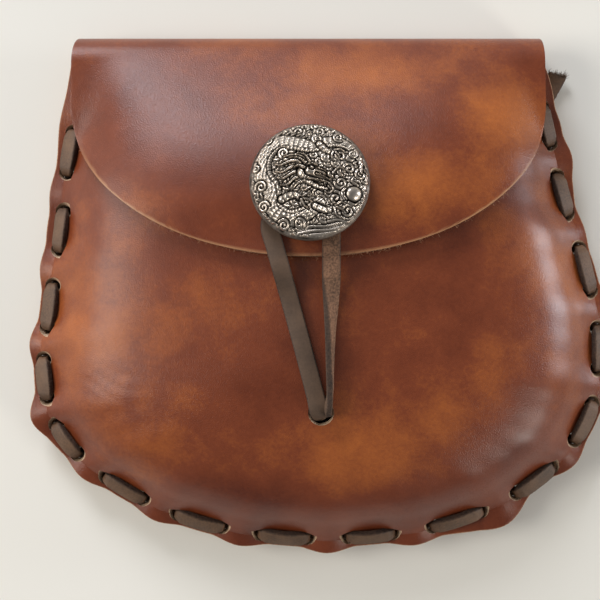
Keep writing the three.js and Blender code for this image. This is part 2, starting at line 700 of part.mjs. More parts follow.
// Concho, in its own frame: +Z out of its face, 0 on the flap's surface
function reliefHeight(x, y) {
  const spine = new THREE.SplineCurve(DRAGON.map((row) => new THREE.Vector2(row.x, row.y)));
  const samples = 64;
  let ridge = 0;
  for (let k = 0; k <= samples; k += 1) {
    const place = (k / samples) * (DRAGON.length - 1);
    const row = Math.min(Math.floor(place), DRAGON.length - 2);
    const half = THREE.MathUtils.lerp(DRAGON[row].half, DRAGON[row + 1].half, place - row);
    const near = spine.getPoint(k / samples).distanceTo(new THREE.Vector2(x, y)) / half;
    ridge = Math.max(ridge, RELIEF.height * Math.sqrt(Math.max(0, 1 - near ** 2)));
  }
  const head = Math.hypot((x - DRAGON_HEAD.x) / DRAGON_HEAD.long, (y - DRAGON_HEAD.y) / DRAGON_HEAD.wide);
  const pearl = Math.hypot(x - PEARL.x, y - PEARL.y) / PEARL.radius;
  const bump = (reach, height) => height * Math.sqrt(Math.max(0, 1 - reach ** 2));
  return Math.max(ridge, bump(head, RELIEF.headHeight), bump(pearl, RELIEF.height));
}

function concho() {
  const { radius, stand, rim, rise, hollow } = CONCHO;
  const { rings, sides } = CONCHO_FACETS;
  const rows = [];
  const ring = (reach, heightAt) => Array.from({ length: sides + 1 }, (_, n) => {
    const turn = (2 * Math.PI * (n % sides)) / sides;
    const [x, y] = [reach * Math.cos(turn), reach * Math.sin(turn)];
    return [x, y, heightAt(x, y)];
  });
  for (const share of [0, 0.35, 0.7]) {
    rows.push(ring(share * radius, () => stand + hollow * (1 - share ** 2)));
  }
  rows.push(ring(radius - CONCHO_EDGE, () => stand));
  rows.push(ring(radius, () => stand + 0.5 * rim));
  for (let k = rings; k >= 0; k -= 1) {
    const reach = (radius - CONCHO_EDGE) * (k / rings);
    const inside = smoothStep((radius - CONCHO_EDGE - reach) / RELIEF.edge);
    const face = stand + rim + rise * (1 - (reach / radius) ** 2);
    rows.push(ring(reach, (x, y) => face + inside * reliefHeight(x, y)));
  }
  const shell = surfaceOf(rows.reverse().flat(2), gridTriangles(rows.length, sides + 1));
  const boss = post(0, 0, BOSS.radius, GAP, stand + hollow + CONCHO_EDGE, BOSS.sides);
  const bore = post(0, 0, BOSS.bore, -GAP, BOSS.depth, BOSS.sides);
  return fromManifold(toManifold(shell).add(toManifold(boss)).subtract(toManifold(bore)));
}

function conchoScrew() {
  const under = -LEATHER - 2 * GAP;
  const head = post(0, 0, SCREW.head, under - SCREW.headThick, under, SCREW.sides);
  const shank = post(0, 0, SCREW.shank, under - 0.5 * SCREW.headThick, SCREW.length, SCREW.sides);
  return fromManifold(toManifold(head).add(toManifold(shank)));
}

// Placing of the concho: on the flap, square to its surface
function conchoGroup() {
  const { x, y } = CONCHO;
  const step = SCREW.head;
  const slopeX = (flapHeight(x + step, y) - flapHeight(x - step, y)) / (2 * step);
  const slopeY = (flapHeight(x, y + step) - flapHeight(x, y - step)) / (2 * step);
  const normal = new THREE.Vector3(-slopeX, -slopeY, 1).normalize();
  const group = new THREE.Group();
  group.position.set(x, y, flapHeight(x, y)).addScaledVector(normal, 0.5 * LEATHER);
  group.quaternion.setFromUnitVectors(UP, normal);
  group.add(meshOf("concho", concho(), FINISHES.silver));
  group.add(meshOf("concho_screw", conchoScrew(), FINISHES.steel));
  return group;
}

const pouch = new THREE.Group();
pouch.add(meshOf("back_panel_and_flap", backPanelAndFlap(), FINISHES.flap));
pouch.add(meshOf("front_panel", frontPanel(), FINISHES.leather));
pouch.add(meshOf("edge_lace", edgeLace(), FINISHES.lace));
pouch.add(meshOf("closure_thong", closureThong(), FINISHES.thong));
pouch.add(conchoGroup());

export default pouch;
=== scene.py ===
"""A laced leather belt pouch lying on its back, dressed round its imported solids.

A domed front and a back with its flap are laced together by a flat strip in running stitch, and a thong loop
closes over a cast concho. Sizes are in millimetres and turn to metres where points are written to a mesh.
"""
from __future__ import annotations

import logging
import math
from collections.abc import Sequence
from dataclasses import dataclass, field
from enum import Enum

import bpy
import numpy as np
from mathutils import Matrix, Vector


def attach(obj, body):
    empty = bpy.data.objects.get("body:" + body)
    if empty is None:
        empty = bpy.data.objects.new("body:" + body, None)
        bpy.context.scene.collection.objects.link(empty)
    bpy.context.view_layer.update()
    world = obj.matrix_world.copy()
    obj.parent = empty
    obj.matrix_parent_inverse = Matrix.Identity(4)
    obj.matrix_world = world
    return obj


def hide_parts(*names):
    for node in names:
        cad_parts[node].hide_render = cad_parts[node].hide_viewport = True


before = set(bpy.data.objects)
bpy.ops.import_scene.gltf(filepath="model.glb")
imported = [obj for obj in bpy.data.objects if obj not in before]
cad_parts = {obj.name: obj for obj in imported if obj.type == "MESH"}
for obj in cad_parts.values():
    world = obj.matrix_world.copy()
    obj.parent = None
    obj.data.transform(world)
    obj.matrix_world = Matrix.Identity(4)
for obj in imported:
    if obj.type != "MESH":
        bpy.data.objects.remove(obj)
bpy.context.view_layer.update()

log = logging.getLogger("pouch")
Array = np.ndarray
Piece = bpy.types.Object
Material = bpy.types.Material
Tree = bpy.types.NodeTree
Socket = bpy.types.NodeSocket
Pair = tuple[float, float]
Triple = tuple[float, float, float]
# A value or a source socket for each input of a node, by the input's name or number
Inputs = dict[str | int, object]
MM = 0.001
TINY = 1e-6
BODY = "root"


class Node(Enum):
    """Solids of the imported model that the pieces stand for."""

    FRONT = "front_panel"
    BACK = "back_panel_and_flap"
    LACE = "edge_lace"
    THONG = "closure_thong"
    CONCHO = "concho"
    SCREW = "concho_screw"


class Side(Enum):
    """Material places on a leather wall: grain outside, flesh inside, and the cut edge."""

    GRAIN = 0
    FLESH = 1
    EDGE = 2


# Numbers and curves


def smooth_step(value: Array) -> Array:
    """Eases from 0 to 1 while the value goes from 0 to 1."""
    t = np.clip(value, 0.0, 1.0)
    return t * t * (3.0 - 2.0 * t)


def between(t: Array, start: float, stop: float, first: Array, last: Array) -> Array:
    """Goes straight from the first value to the last one while t goes from start to stop."""
    return (stop - t) / (stop - start) * first + (t - start) / (stop - start) * last


def soft_max(a: Array, b: Array, blend: float) -> Array:
    """Gives the larger of two values, with the change from one to the other rounded off."""
    return 0.5 * (a + b + np.hypot(a - b, blend))


def read_table(rows: Sequence[Pair], at: Array) -> Array:
    """Reads a short table smoothly, level at its last row.

    Args:
        rows: pairs of a rising place and its value.
        at: places to read.

    Returns:
        The values at those places.
    """
    places, values = np.array(rows).T
    last = len(rows) - 1
    before = np.maximum(np.arange(last + 1) - 1, 0)
    after = np.minimum(np.arange(last + 1) + 1, last)
    slopes = (values[after] - values[before]) / (places[after] - places[before])
    slopes[last] = 0.0
    k = np.clip(np.searchsorted(places, at) - 1, 0, last - 1)
    width = places[k + 1] - places[k]
    t = np.clip((at - places[k]) / width, 0.0, 1.0)
    ease = smooth_step(t)
    lead = t * (1.0 - t) ** 2 * width * slopes[k]
    tail = t * t * (t - 1.0) * width * slopes[k + 1]
    return values[k] * (1.0 - ease) + values[k + 1] * ease + lead + tail


def even_curve(knots: Array, place: Array) -> Array:
    """Follows a smooth curve through knots that stand at 0, 1, 2 and so on.

    Args:
        knots: one row of coordinates for each knot.
        place: places on the curve.

    Returns:
        One row of coordinates for each place.
    """
    last = len(knots) - 1
    place = np.clip(place, 0.0, last)
    k = np.minimum(place.astype(int), last - 1)
    t = (place - k)[..., None]
    before, here = knots[np.maximum(k - 1, 0)], knots[k]
    after, beyond = knots[k + 1], knots[np.minimum(k + 2, last)]
    start = 0.5 * (after - before)
    stop = 0.5 * (beyond - here)
    cubic = 2.0 * here - 2.0 * after + start + stop
    square = -3.0 * here + 3.0 * after - 2.0 * start - stop
    return ((cubic * t + square) * t + start) * t + here


# Shape of the pouch


@dataclass(frozen=True)
class Stitch:
    """One front stitch: its middle on the hole line, the distance between its holes, and its pull."""

    x: float
    y: float
    span: float
    pull: float


@dataclass(frozen=True)
class Seam:
    """The hole line round the pouch.

    The stitches stand at stations 1, 2, 3 and so on, and the mouth's corners at the first and last station.
    """

    mouth_y: float = 60.0
    mouth_left: float = -60.2
    mouth_right: float = 56.9
    flat_reach: float = 0.15
    stitches: tuple[Stitch, ...] = (
        Stitch(-65.0, 37.4, 10.5, 0.6),
        Stitch(-67.0, 17.4, 9.9, 0.7),
        Stitch(-70.0, -2.8, 10.7, 1.1),
        Stitch(-71.5, -21.8, 9.7, 1.1),
        Stitch(-66.0, -37.9, 9.0, 1.0),
        Stitch(-50.4, -50.6, 10.8, 1.0),
        Stitch(-30.7, -59.1, 11.8, 1.0),
        Stitch(-8.4, -63.1, 12.0, 1.2),
        Stitch(14.3, -62.9, 11.2, 1.2),
        Stitch(37.0, -58.8, 12.8, 1.0),
        Stitch(57.6, -48.6, 11.0, 1.2),
        Stitch(70.8, -33.2, 10.4, 0.9),
        Stitch(74.4, -13.8, 10.4, 0.8),
        Stitch(70.8, 7.1, 11.2, 0.9),
        Stitch(64.6, 26.6, 9.8, 0.9),
        Stitch(60.5, 44.9, 9.5, 0.7),
    )

    @property
    def end(self) -> int:
        """Station of the right mouth corner."""
        return len(self.stitches) + 1

    def point(self, station: Array) -> Array:
        """Plan place on the hole line.

        Args:
            station: seam stations.

        Returns:
            One row of x and y for each station.
        """
        middles = [(row.x, row.y) for row in self.stitches]
        knots = [(self.mouth_left, self.mouth_y), *middles, (self.mouth_right, self.mouth_y)]
        return even_curve(np.array(knots), np.asarray(station, float))

    def tangent(self, station: Array) -> Array:
        """Unit direction of the hole line, from the left mouth corner round to the right one.

        Args:
            station: seam stations.

        Returns:
            One row of x and y for each station.
        """
        step = 0.02
        station = np.asarray(station, float)
        run = self.point(np.minimum(station + step, self.end)) - self.point(np.maximum(station - step, 0.0))
        return run / np.linalg.norm(run, axis=-1, keepdims=True)

    def outward(self, station: Array) -> Array:
        """Unit direction out of the pouch, square to the hole line."""
        along = self.tangent(station)
        return np.stack([along[..., 1], -along[..., 0]], axis=-1)

    def near_mouth(self, station: Array) -> Array:
        """Stations from the nearer mouth corner."""
        return np.minimum(station, self.end - station)

    def pull(self, station: Array) -> Array:
        """How hard the lace gathers the leather."""
        return np.interp(station, np.arange(1, self.end), [row.pull for row in self.stitches])

    def lobe(self, station: Array) -> Array:
        """Puff of the gathered leather: 0 along a stitch, the pull half way between two.

        Args:
            station: seam stations.

        Returns:
            Shares of the full puff.
        """
        inner = np.clip(station, 0.5, self.end - 0.5)
        away = np.abs(inner - np.round(inner))
        return smooth_step((away - self.flat_reach) / (0.5 - self.flat_reach)) * self.pull(station)

    def holes(self) -> Array:
        """Stations of the punched holes, two for each stitch.

        Returns:
            The stations, in their order round the seam.
        """
        step = 0.25
        stations = []
        for k, row in enumerate(self.stitches, start=1):
            chord = self.point(k + step) - self.point(k - step)
            reach = 0.5 * row.span * 2.0 * step / np.linalg.norm(chord)
            stations += [k - reach, k + reach]
        return np.array(stations)


@dataclass(frozen=True)
class PouchForm:
    """Middle surfaces of the leather walls."""

    seam: Seam = Seam()
    leather: float = 1.8
    gap: float = 0.3
    seam_z: float = 5.9
    lobe_rise: float = 2.3
    lobe_reach: float = 0.075
    pucker_rise: float = 0.6
    pucker_end: float = 0.5
    edge_rise: float = 1.0
    edge_turn: float = 1.25
    margin: float = 3.3
    scallop: float = 0.5
    # Places of the cut edge that reach further out or less far: station, distance and spread in stations
    edge_drift: tuple[Triple, ...] = (
        (0.75, 0.8, 0.2),
        (2.0, 1.0, 0.4),
        (4.6, 1.7, 0.32),
        (10.35, 2.4, 0.4),
        (11.0, -1.1, 0.22),
        (14.5, -1.0, 0.3),
        (15.35, 1.3, 0.45),
        (16.0, 0.9, 0.3),
        (16.95, -1.8, 0.25),
    )
    lip_reach: float = 3.5
    lip_fade: float = 0.6
    # Slow waves of the leather, full from an inset on: lengths across and up, phases, share of the broad ones
    unevenness: float = 0.22
    uneven_inset: float = 0.3
    broad_wave: Pair = (11.3, 13.1)
    slant_wave: Pair = (7.9, 9.7)
    wave_phase: Triple = (0.7, -0.4, 1.1)
    broad_share: float = 0.6
    # Small wrinkles low on the left: middle, spread, pitch and height, and how their lines lean and sway
    wrinkle_at: Pair = (-52.0, -22.0)
    wrinkle_wide: float = 7.0
    wrinkle_tall: float = 5.0
    wrinkle_pitch: float = 3.4
    wrinkle_rise: float = 0.14
    wrinkle_lean: float = 0.4
    wrinkle_sway: float = 0.9
    wrinkle_sway_rate: float = 0.35
    mouth_middle: float = -2.0
    spine_low: Pair = (1.0, -14.0)
    spine_end: float = 4.6
    # Height of the front's middle line from the mouth (0) to the meeting point of the section lines (1)
    spine: tuple[Pair, ...] = (
        (0.0, 9.2), (0.2, 19.2), (0.4, 25.0), (0.6, 27.2), (0.8, 28.1), (1.0, 28.4),
    )
    # Rise of the dome from the hole line (0) to the middle line (1)
    section: tuple[Pair, ...] = (
        (0.0, 0.0), (0.04, 0.12), (0.085, 0.28), (0.145, 0.475), (0.23, 0.655),
        (0.36, 0.8), (0.55, 0.905), (0.78, 0.975), (1.0, 1.0),
    )
    fullness: float = 0.2
    fullness_fade: float = 3.5
    back_margin: float = 2.9
    back_rise: float = 2.8
    back_run: float = 14.0
    back_mouth_fade: float = 0.35
    fold_radius: float = 6.6
    fold_middle: float = -1.6
    fold_half: float = 59.9
    flap_middle: float = -2.1
    flap_half: float = 60.9
    flap_straight_to: float = 50.0
    flap_tip: float = 9.6
    flap_lift: float = 4.2
    flap_tip_lift: float = 3.0
    flap_tip_from: float = 24.0
    flap_tip_run: float = 12.0
    flap_blend: float = 3.0
    flap_free_from: float = 46.0

    def spine_share(self, station: Array) -> Array:
        """How far down the middle line the section line of a station starts."""
        return np.clip(self.seam.near_mouth(station) / self.spine_end, 0.0, 1.0)

    def spine_point(self, station: Array) -> Array:
        """Plan place where the section line of a station meets the middle line.

        Args:
            station: seam stations.

        Returns:
            One row of x and y for each station.
        """
        share = self.spine_share(station)[..., None]
        top = np.array([self.mouth_middle, self.seam.mouth_y])
        return top + (np.array(self.spine_low) - top) * share

    def front_section(self, station: Array, inset: Array) -> Array:
        """Height of the front between the hole line (inset 0) and the middle line (inset 1).

        Args:
            station: seam stations.
            inset: 0 on the hole line, 1 on the middle line.

        Returns:
            Heights of the middle surface.
        """
        top = read_table(self.spine, self.spine_share(station))
        full = self.fullness * (1.0 - smooth_step(self.seam.near_mouth(station) / self.fullness_fade))
        full_at_peak = 27.0 / 4.0
        bulge = full_at_peak * inset * (1.0 - inset) ** 2
        dome = self.seam_z + (top - self.seam_z) * (read_table(self.section, inset) + full * bulge)
        lobe = self.seam.lobe(station)
        pucker = (lobe - 0.5 * self.seam.pull(station)) * smooth_step(inset / self.lobe_reach)
        pucker = pucker * self.pucker_rise * (1.0 - smooth_step(inset / self.pucker_end))
        puff = self.lobe_rise * lobe * np.exp(-((inset / self.lobe_reach) ** 2))
        return dome + puff + pucker

    def front_surface(self, station: Array, inset: Array) -> Array:
        """Points of the front's middle surface.

        Args:
            station: seam stations.
            inset: 0 on the hole line, 1 on the middle line, and down to -1 on the cut edge.

        Returns:
            One row of x, y and z for each pair.
        """
        inside = np.maximum(inset, 0.0)[..., None]
        outside = np.maximum(-inset, 0.0)
        lobe = self.seam.lobe(station)
        margin = self.margin + self.scallop * (2.0 * lobe - self.seam.pull(station))
        for at, distance, spread in self.edge_drift:
            margin = margin + distance * np.exp(-(((station - at) / spread) ** 2))
        seam = self.seam.point(station)
        plan = seam + (self.spine_point(station) - seam) * inside
        plan = plan + self.seam.outward(station) * (margin * outside)[..., None]
        lip = self.lip_reach * (1.0 - smooth_step(self.seam.near_mouth(station) / self.lip_fade))
        plan[..., 1] += lip
        height = self.front_section(station, inside[..., 0])
        edge = self.seam_z + self.edge_rise * lobe
        height = edge + (height - edge) * (1.0 - outside) ** self.edge_turn
        height = height + self.uneven(plan[..., 0], plan[..., 1], inside[..., 0])
        return np.concatenate([plan, height[..., None]], axis=-1)

    def uneven(self, x: Array, y: Array, inset: Array) -> Array:
        """Unevenness of the dome, which dies away towards the seam, and its small wrinkles.

        Args:
            x: places across.
            y: places up.
            inset: 0 on the hole line, 1 on the middle line.

        Returns:
            Heights to add to the smooth dome.
        """
        broad = np.sin(x / self.broad_wave[0] + self.wave_phase[0])
        broad = broad * np.cos(y / self.broad_wave[1] + self.wave_phase[1])
        slant = np.sin(x / self.slant_wave[0] - y / self.slant_wave[1] + self.wave_phase[2])
        slow = self.broad_share * broad + (1.0 - self.broad_share) * slant
        slow = self.unevenness * slow * smooth_step(inset / self.uneven_inset)
        across = (x - self.wrinkle_at[0]) / self.wrinkle_wide
        up = (y - self.wrinkle_at[1]) / self.wrinkle_tall
        sway = self.wrinkle_sway * np.sin(self.wrinkle_sway_rate * x)
        waves = np.sin((self.wrinkle_lean * x + y + sway) * 2.0 * math.pi / self.wrinkle_pitch)
        return slow + self.wrinkle_rise * waves * np.exp(-(np.hypot(across, up) ** 2))

    def front_place(self, x: Array, y: Array) -> tuple[Array, Array]:
        """Finds the seam station and the inset of plan places on the front.

        Args:
            x: places across.
            y: places up.

        Returns:
            The stations and the insets, from 0 to 1.
        """
        low = np.zeros_like(x)
        high = np.full_like(x, self.seam.end)
        halvings = 30
        for _ in range(halvings):
            station = 0.5 * (low + high)
            root = self.spine_point(station)
            ray = self.seam.point(station) - root
            ahead = ray[..., 0] * (y - root[..., 1]) - ray[..., 1] * (x - root[..., 0]) > 0.0
            low = np.where(ahead, station, low)
            high = np.where(ahead, high, station)
        station = 0.5 * (low + high)
        root = self.spine_point(station)
        ray = self.seam.point(station) - root
        reach = ((x - root[..., 0]) * ray[..., 0] + (y - root[..., 1]) * ray[..., 1]) / (ray**2).sum(axis=-1)
        return station, np.clip(1.0 - reach, 0.0, 1.0)

    def front_height(self, x: Array, y: Array) -> Array:
        """Height of the front's middle surface over plan places."""
        station, inset = self.front_place(x, y)
        return self.front_section(station, inset) + self.uneven(x, y, inset)

    def over_front(self, x: Array, y: Array) -> Array:
        """Height of the flap's middle surface where it lies over the front, clear of the fold.

        Args:
            x: places across.
            y: places up.

        Returns:
            Heights.
        """
        towards_tip = smooth_step((self.flap_tip_from - y) / self.flap_tip_run)
        lift = self.flap_lift + (self.flap_tip_lift - self.flap_lift) * towards_tip
        return soft_max(self.fold_top, self.front_height(x, y) + lift, self.flap_blend)

    @property
    def fold_top(self) -> float:
        """Height of the flap's middle surface at the top of the fold."""
        return 0.5 * self.leather + 2.0 * self.fold_radius

    def fold_turn(self, x: Array) -> Array:
        """Angle that the fold turns through before the flap leaves it, rising towards the dome."""
        rise = self.over_front(x, np.full_like(x, self.flap_free_from)) - self.fold_top
        return math.pi - np.arctan(np.maximum(0.0, rise) / (self.seam.mouth_y - self.flap_free_from))

    def flap_height(self, x: Array, y: Array) -> Array:
        """Height of the flap's middle surface over plan places, from where it leaves the fold.

        Args:
            x: places across.
            y: places up.

        Returns:
            Heights.
        """
        free = np.full_like(x, self.flap_free_from)
        step = 0.5
        stop = self.over_front(x, free)
        stop_slope = (self.over_front(x, free + step) - self.over_front(x, free - step)) / (2.0 * step)
        turn = self.fold_turn(x)
        start_y = self.seam.mouth_y + self.fold_radius * np.sin(turn)
        start = 0.5 * self.leather + self.fold_radius * (1.0 - np.cos(turn))
        run = start_y - free
        t = np.clip((y - free) / run, 0.0, 1.0)
        ease = smooth_step(t)
        bridge = stop * (1.0 - ease) + start * ease
        bridge = bridge + run * (t * (1.0 - t) ** 2 * stop_slope + t * t * (t - 1.0) * np.tan(turn))
        return np.where(y > free, bridge, self.over_front(x, y))

    def back_height(self, station: Array, inset: Array) -> Array:
        """Height of the back's middle surface, which lifts off the table towards the seam.

        Args:
            station: seam stations.
            inset: 0 on the hole line, 1 on the middle line.

        Returns:
            Heights.
        """
        length = np.linalg.norm(self.seam.point(station) - self.spine_point(station), axis=-1)
        fade = smooth_step(self.seam.near_mouth(station) / self.back_mouth_fade)
        lift = self.back_rise * fade * (1.0 - smooth_step(length * inset / self.back_run))
        return 0.5 * self.leather + lift

    def back_surface(self, station: Array, inset: Array) -> Array:
        """Points of the back's middle surface, with the same places as front_surface.

        Args:
            station: seam stations.
            inset: as in front_surface.

        Returns:
            One row of x, y and z for each pair.
        """
        inside = np.maximum(inset, 0.0)
        outside = np.maximum(-inset, 0.0)
        seam = self.seam.point(station)
        outward = self.seam.outward(station)
        square = np.stack([np.sign(station - 0.5 * self.seam.end), np.zeros_like(station)], axis=-1)
        outward = np.where((self.seam.near_mouth(station) > 0.0)[..., None], outward, square)
        plan = seam + (self.spine_point(station) - seam) * inside[..., None]
        plan = plan + outward * (self.back_margin * outside)[..., None]
        return np.concatenate([plan, self.back_height(station, inside)[..., None]], axis=-1)

    def on_flap(self, x: Array, y: Array) -> Array:
        """Tells whether plan places lie under the flap's outline.

        Args:
            x: places across.
            y: places up.

        Returns:
            True where they do.
        """
        drop = (self.flap_straight_to - y) / (self.flap_straight_to - self.flap_tip)
        reach = (x - self.flap_middle) / self.flap_half
        return (y > self.flap_straight_to) | (np.maximum(drop, 0.0) ** 2 + reach**2 < 1.0)

    def outer_height(self, x: Array, y: Array) -> Array:
        """Height of the leather that faces up, flap or front, over plan places."""
        middle = np.where(self.on_flap(x, y), self.flap_height(x, y), self.front_height(x, y))
        return middle + 0.5 * self.leather


# Meshes


def deselect_all() -> None:
    """Clears the selection before an operator that acts on all that is selected."""
    bpy.ops.object.select_all(action="DESELECT")


def choose(*objects: Piece) -> None:
    """Selects only these objects and makes the first one active.

    Args:
        objects: the objects.
    """
    deselect_all()
    for item in objects:
        item.select_set(True)
    bpy.context.view_layer.objects.active = objects[0]


def grid_of(name: str, points: Array) -> Piece:
    """Adds a grid and moves its points to their places.

    Args:
        name: the object's name.
        points: millimetres, as rows by columns by three.

    Returns:
        The new object.
    """
    rows, columns, _ = points.shape
    deselect_all()
    bpy.ops.mesh.primitive_grid_add(x_subdivisions=columns - 1, y_subdivisions=rows - 1)
    grid = bpy.context.object
    grid.name = name
    grid.data.name = name
    grid.data.vertices.foreach_set("co", (points * MM).astype(np.float32).ravel())
    grid.data.update()
    return grid


def join(first: Piece, *others: Piece) -> Piece:
    """Joins objects into the first one.

    Args:
        first: the object that stays.
        others: those that go into it.

    Returns:
        The first object.
    """
    if others:
        choose(first, *others)
        bpy.ops.object.join()
    return first


def merge_doubles(piece: Piece, close_ends: bool = False) -> None:
    """Merges points that coincide.

    Args:
        piece: the object.
        close_ends: whether open ends are then filled and all faces turned outwards.
    """
    near = 0.004 * MM
    choose(piece)
    bpy.ops.object.mode_set(mode="EDIT")
    bpy.ops.mesh.select_all(action="SELECT")
    bpy.ops.mesh.remove_doubles(threshold=near)
    if close_ends:
        bpy.ops.mesh.select_all(action="SELECT")
        bpy.ops.mesh.fill_holes(sides=0)
        bpy.ops.mesh.select_all(action="SELECT")
        bpy.ops.mesh.normals_make_consistent(inside=False)
    bpy.ops.object.mode_set(mode="OBJECT")


def apply_modifier(piece: Piece, kind: str, **settings: object) -> None:
    """Adds one modifier with its settings and applies it.

    Args:
        piece: the object.
        kind: the modifier's type.
        settings: its properties.
    """
    modifier = piece.modifiers.new(kind.lower(), kind)
    for name, value in settings.items():
        setattr(modifier, name, value)
    choose(piece)
    bpy.ops.object.modifier_apply(modifier=modifier.name)


def round_rim(panel: Piece, width: float) -> None:
    """Rounds the two borders of a panel's cut edge, whose new faces are raw leather too.

    Args:
        panel: the panel.
        width: how far the rounding reaches.
    """
    choose(panel)
    bpy.ops.object.mode_set(mode="EDIT")
    bpy.ops.mesh.select_mode(type="FACE")
    bpy.ops.mesh.select_all(action="DESELECT")
    panel.active_material_index = Side.EDGE.value
    bpy.ops.object.material_slot_select()
    bpy.ops.mesh.region_to_loop()
    bpy.ops.mesh.bevel(offset=width * MM, segments=3, clamp_overlap=True, material=Side.EDGE.value)
    bpy.ops.mesh.select_mode(type="VERT")
    bpy.ops.object.mode_set(mode="OBJECT")


def smooth_shade(piece: Piece, angle: float = 45.0) -> None:
    """Shades the piece smooth, with edges sharper than the angle kept crisp."""
    choose(piece)
    bpy.ops.object.shade_smooth_by_angle(angle=math.radians(angle))


def points_of(piece: Piece) -> Array:
    """Reads where the piece's points are.

    Args:
        piece: the object.

    Returns:
        Millimetres, one row for each point.
    """
    flat = np.empty(3 * len(piece.data.vertices), np.float32)
    piece.data.vertices.foreach_get("co", flat)
    return flat.reshape(-1, 3).astype(float) / MM


def paint(piece: Piece, name: str, values: Array) -> None:
    """Writes one number for each point, which a material reads by this name."""
    layer = piece.data.attributes.new(name, "FLOAT", "POINT")
    layer.data.foreach_set("value", np.asarray(values, np.float32).ravel())


def wear(piece: Piece, *materials: Material) -> None:
    """Puts materials on the piece.

    Args:
        piece: the object.
        materials: the materials, in the order of their places.
    """
    piece.data.materials.clear()
    for material in materials:
        piece.data.materials.append(material)


def dress(piece: Piece, node: Node) -> None:
    """Lets the piece stand for its solid, whose imported part it hides, and ride with the body.

    Args:
        piece: the object.
        node: the solid.
    """
    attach(piece, BODY)
    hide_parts(node.value)


def unite(piece: Piece, other: Piece) -> None:
    """Adds another closed form to the piece, as one skin."""
    apply_modifier(piece, "BOOLEAN", operation="UNION", object=other, solver="MANIFOLD")
    bpy.data.objects.remove(other)


def punch(piece: Piece, cutter: Piece) -> None:
    """Cuts holes, whose walls take the cutter's material, and removes the cutter.

    Args:
        piece: the object.
        cutter: the posts that cut.
    """
    apply_modifier(
        piece, "BOOLEAN", operation="DIFFERENCE", object=cutter, solver="MANIFOLD", material_mode="TRANSFER"
    )
    bpy.data.objects.remove(cutter)


def round_posts(places: Sequence[Triple], middle: Array, reach: float, flare: float = 0.0) -> Piece:
    """Makes upright round posts, to cut holes with or to build on.

    Args:
        places: x, y and radius of each.
        middle: height of the middle of each.
        reach: how far they go up and down from there.
        flare: widening of the radius for each millimetre up.

    Returns:
        One object with all of them.
    """
    posts = []
    for (x, y, radius), z in zip(places, middle):
        deselect_all()
        bpy.ops.mesh.primitive_cone_add(
            vertices=28,
            radius1=(radius - flare * reach) * MM,
            radius2=(radius + flare * reach) * MM,
            depth=2.0 * reach * MM,
            location=(x * MM, y * MM, z * MM),
        )
        posts.append(bpy.context.object)
    whole = join(*posts)
    choose(whole)
    bpy.ops.object.transform_apply(location=True, rotation=True, scale=True)
    return whole


def round_bar(radius: float, low: float, high: float) -> Piece:
    """Makes one upright round bar on the axis, from one height to another."""
    return round_posts([(0.0, 0.0, radius)], np.array([0.5 * (low + high)]), 0.5 * (high - low))


# Finishes


def colour(code: str) -> tuple[float, float, float, float]:
    """Turns an sRGB hex code into a linear colour.

    Args:
        code: the hex code, with its leading sign.

    Returns:
        Red, green, blue and full opacity.
    """
    parts = [int(code[k : k + 2], 16) / 255.0 for k in (1, 3, 5)]
    linear = [p / 12.92 if p <= 0.04045 else ((p + 0.055) / 1.055) ** 2.4 for p in parts]
    return (*linear, 1.0)


def fill(tree: Tree, node: bpy.types.Node, inputs: Inputs) -> None:
    """Gives a node's inputs their values, or links them to the sockets that feed them.

    Args:
        tree: the node tree.
        node: the node.
        inputs: what its inputs take.
    """
    for socket, value in inputs.items():
        if isinstance(value, Socket):
            tree.links.new(value, node.inputs[socket])
        else:
            node.inputs[socket].default_value = value


def put(tree: Tree, kind: str, inputs: Inputs, out: str | int = 0, **settings: object) -> Socket:
    """Adds a shader node with its settings, values and links.

    Args:
        tree: the node tree.
        kind: the node's type, without its common prefix.
        inputs: a value or a source socket for each input, by name or number.
        out: the output that is wanted, by name or number.
        settings: the node's own properties.

    Returns:
        The new node's output.
    """
    made = tree.nodes.new("ShaderNode" + kind)
    for name, value in settings.items():
        setattr(made, name, value)
    fill(tree, made, inputs)
    return made.outputs[out]


def tint(tree: Tree, ground: str, *coats: tuple[Socket, str]) -> Socket:
    """Lays colours over each other.

    Args:
        tree: the node tree.
        ground: the colour at the bottom.
        coats: for each colour over it, the socket that gives its share, and the colour.

    Returns:
        The socket of the mixed colour.
    """
    # Places of the colour inputs and the colour output among a mix node's sockets
    lower, upper, mixed = 6, 7, 2
    shade = colour(ground)
    for share, code in coats:
        inputs = {"Factor": share, lower: shade, upper: colour(code)}
        shade = put(tree, "Mix", inputs, mixed, data_type="RGBA")
    return shade


def per_metre(size_mm: float) -> float:
    """Texture scale that makes a pattern of this size in millimetres."""
    return 1.0 / (size_mm * MM)


@dataclass(frozen=True)
class Finish:
    """A material, told by what its surface gives the shader."""

    name: str

    def material(self) -> Material:
        """Builds the material.

        Returns:
            The new material.
        """
        material = bpy.data.materials.new(self.name)
        material.use_nodes = True
        tree = material.node_tree
        place = put(tree, "TexCoord", {}, "Object")
        fill(tree, tree.nodes["Principled BSDF"], self.surface(tree, place))
        return material

    def surface(self, tree: Tree, place: Socket) -> Inputs:
        """Adds the pattern's nodes.

        Args:
            tree: the material's node tree.
            place: the piece's own coordinates.

        Returns:
            A value or a source socket for each of the shader's inputs.
        """
        raise NotImplementedError


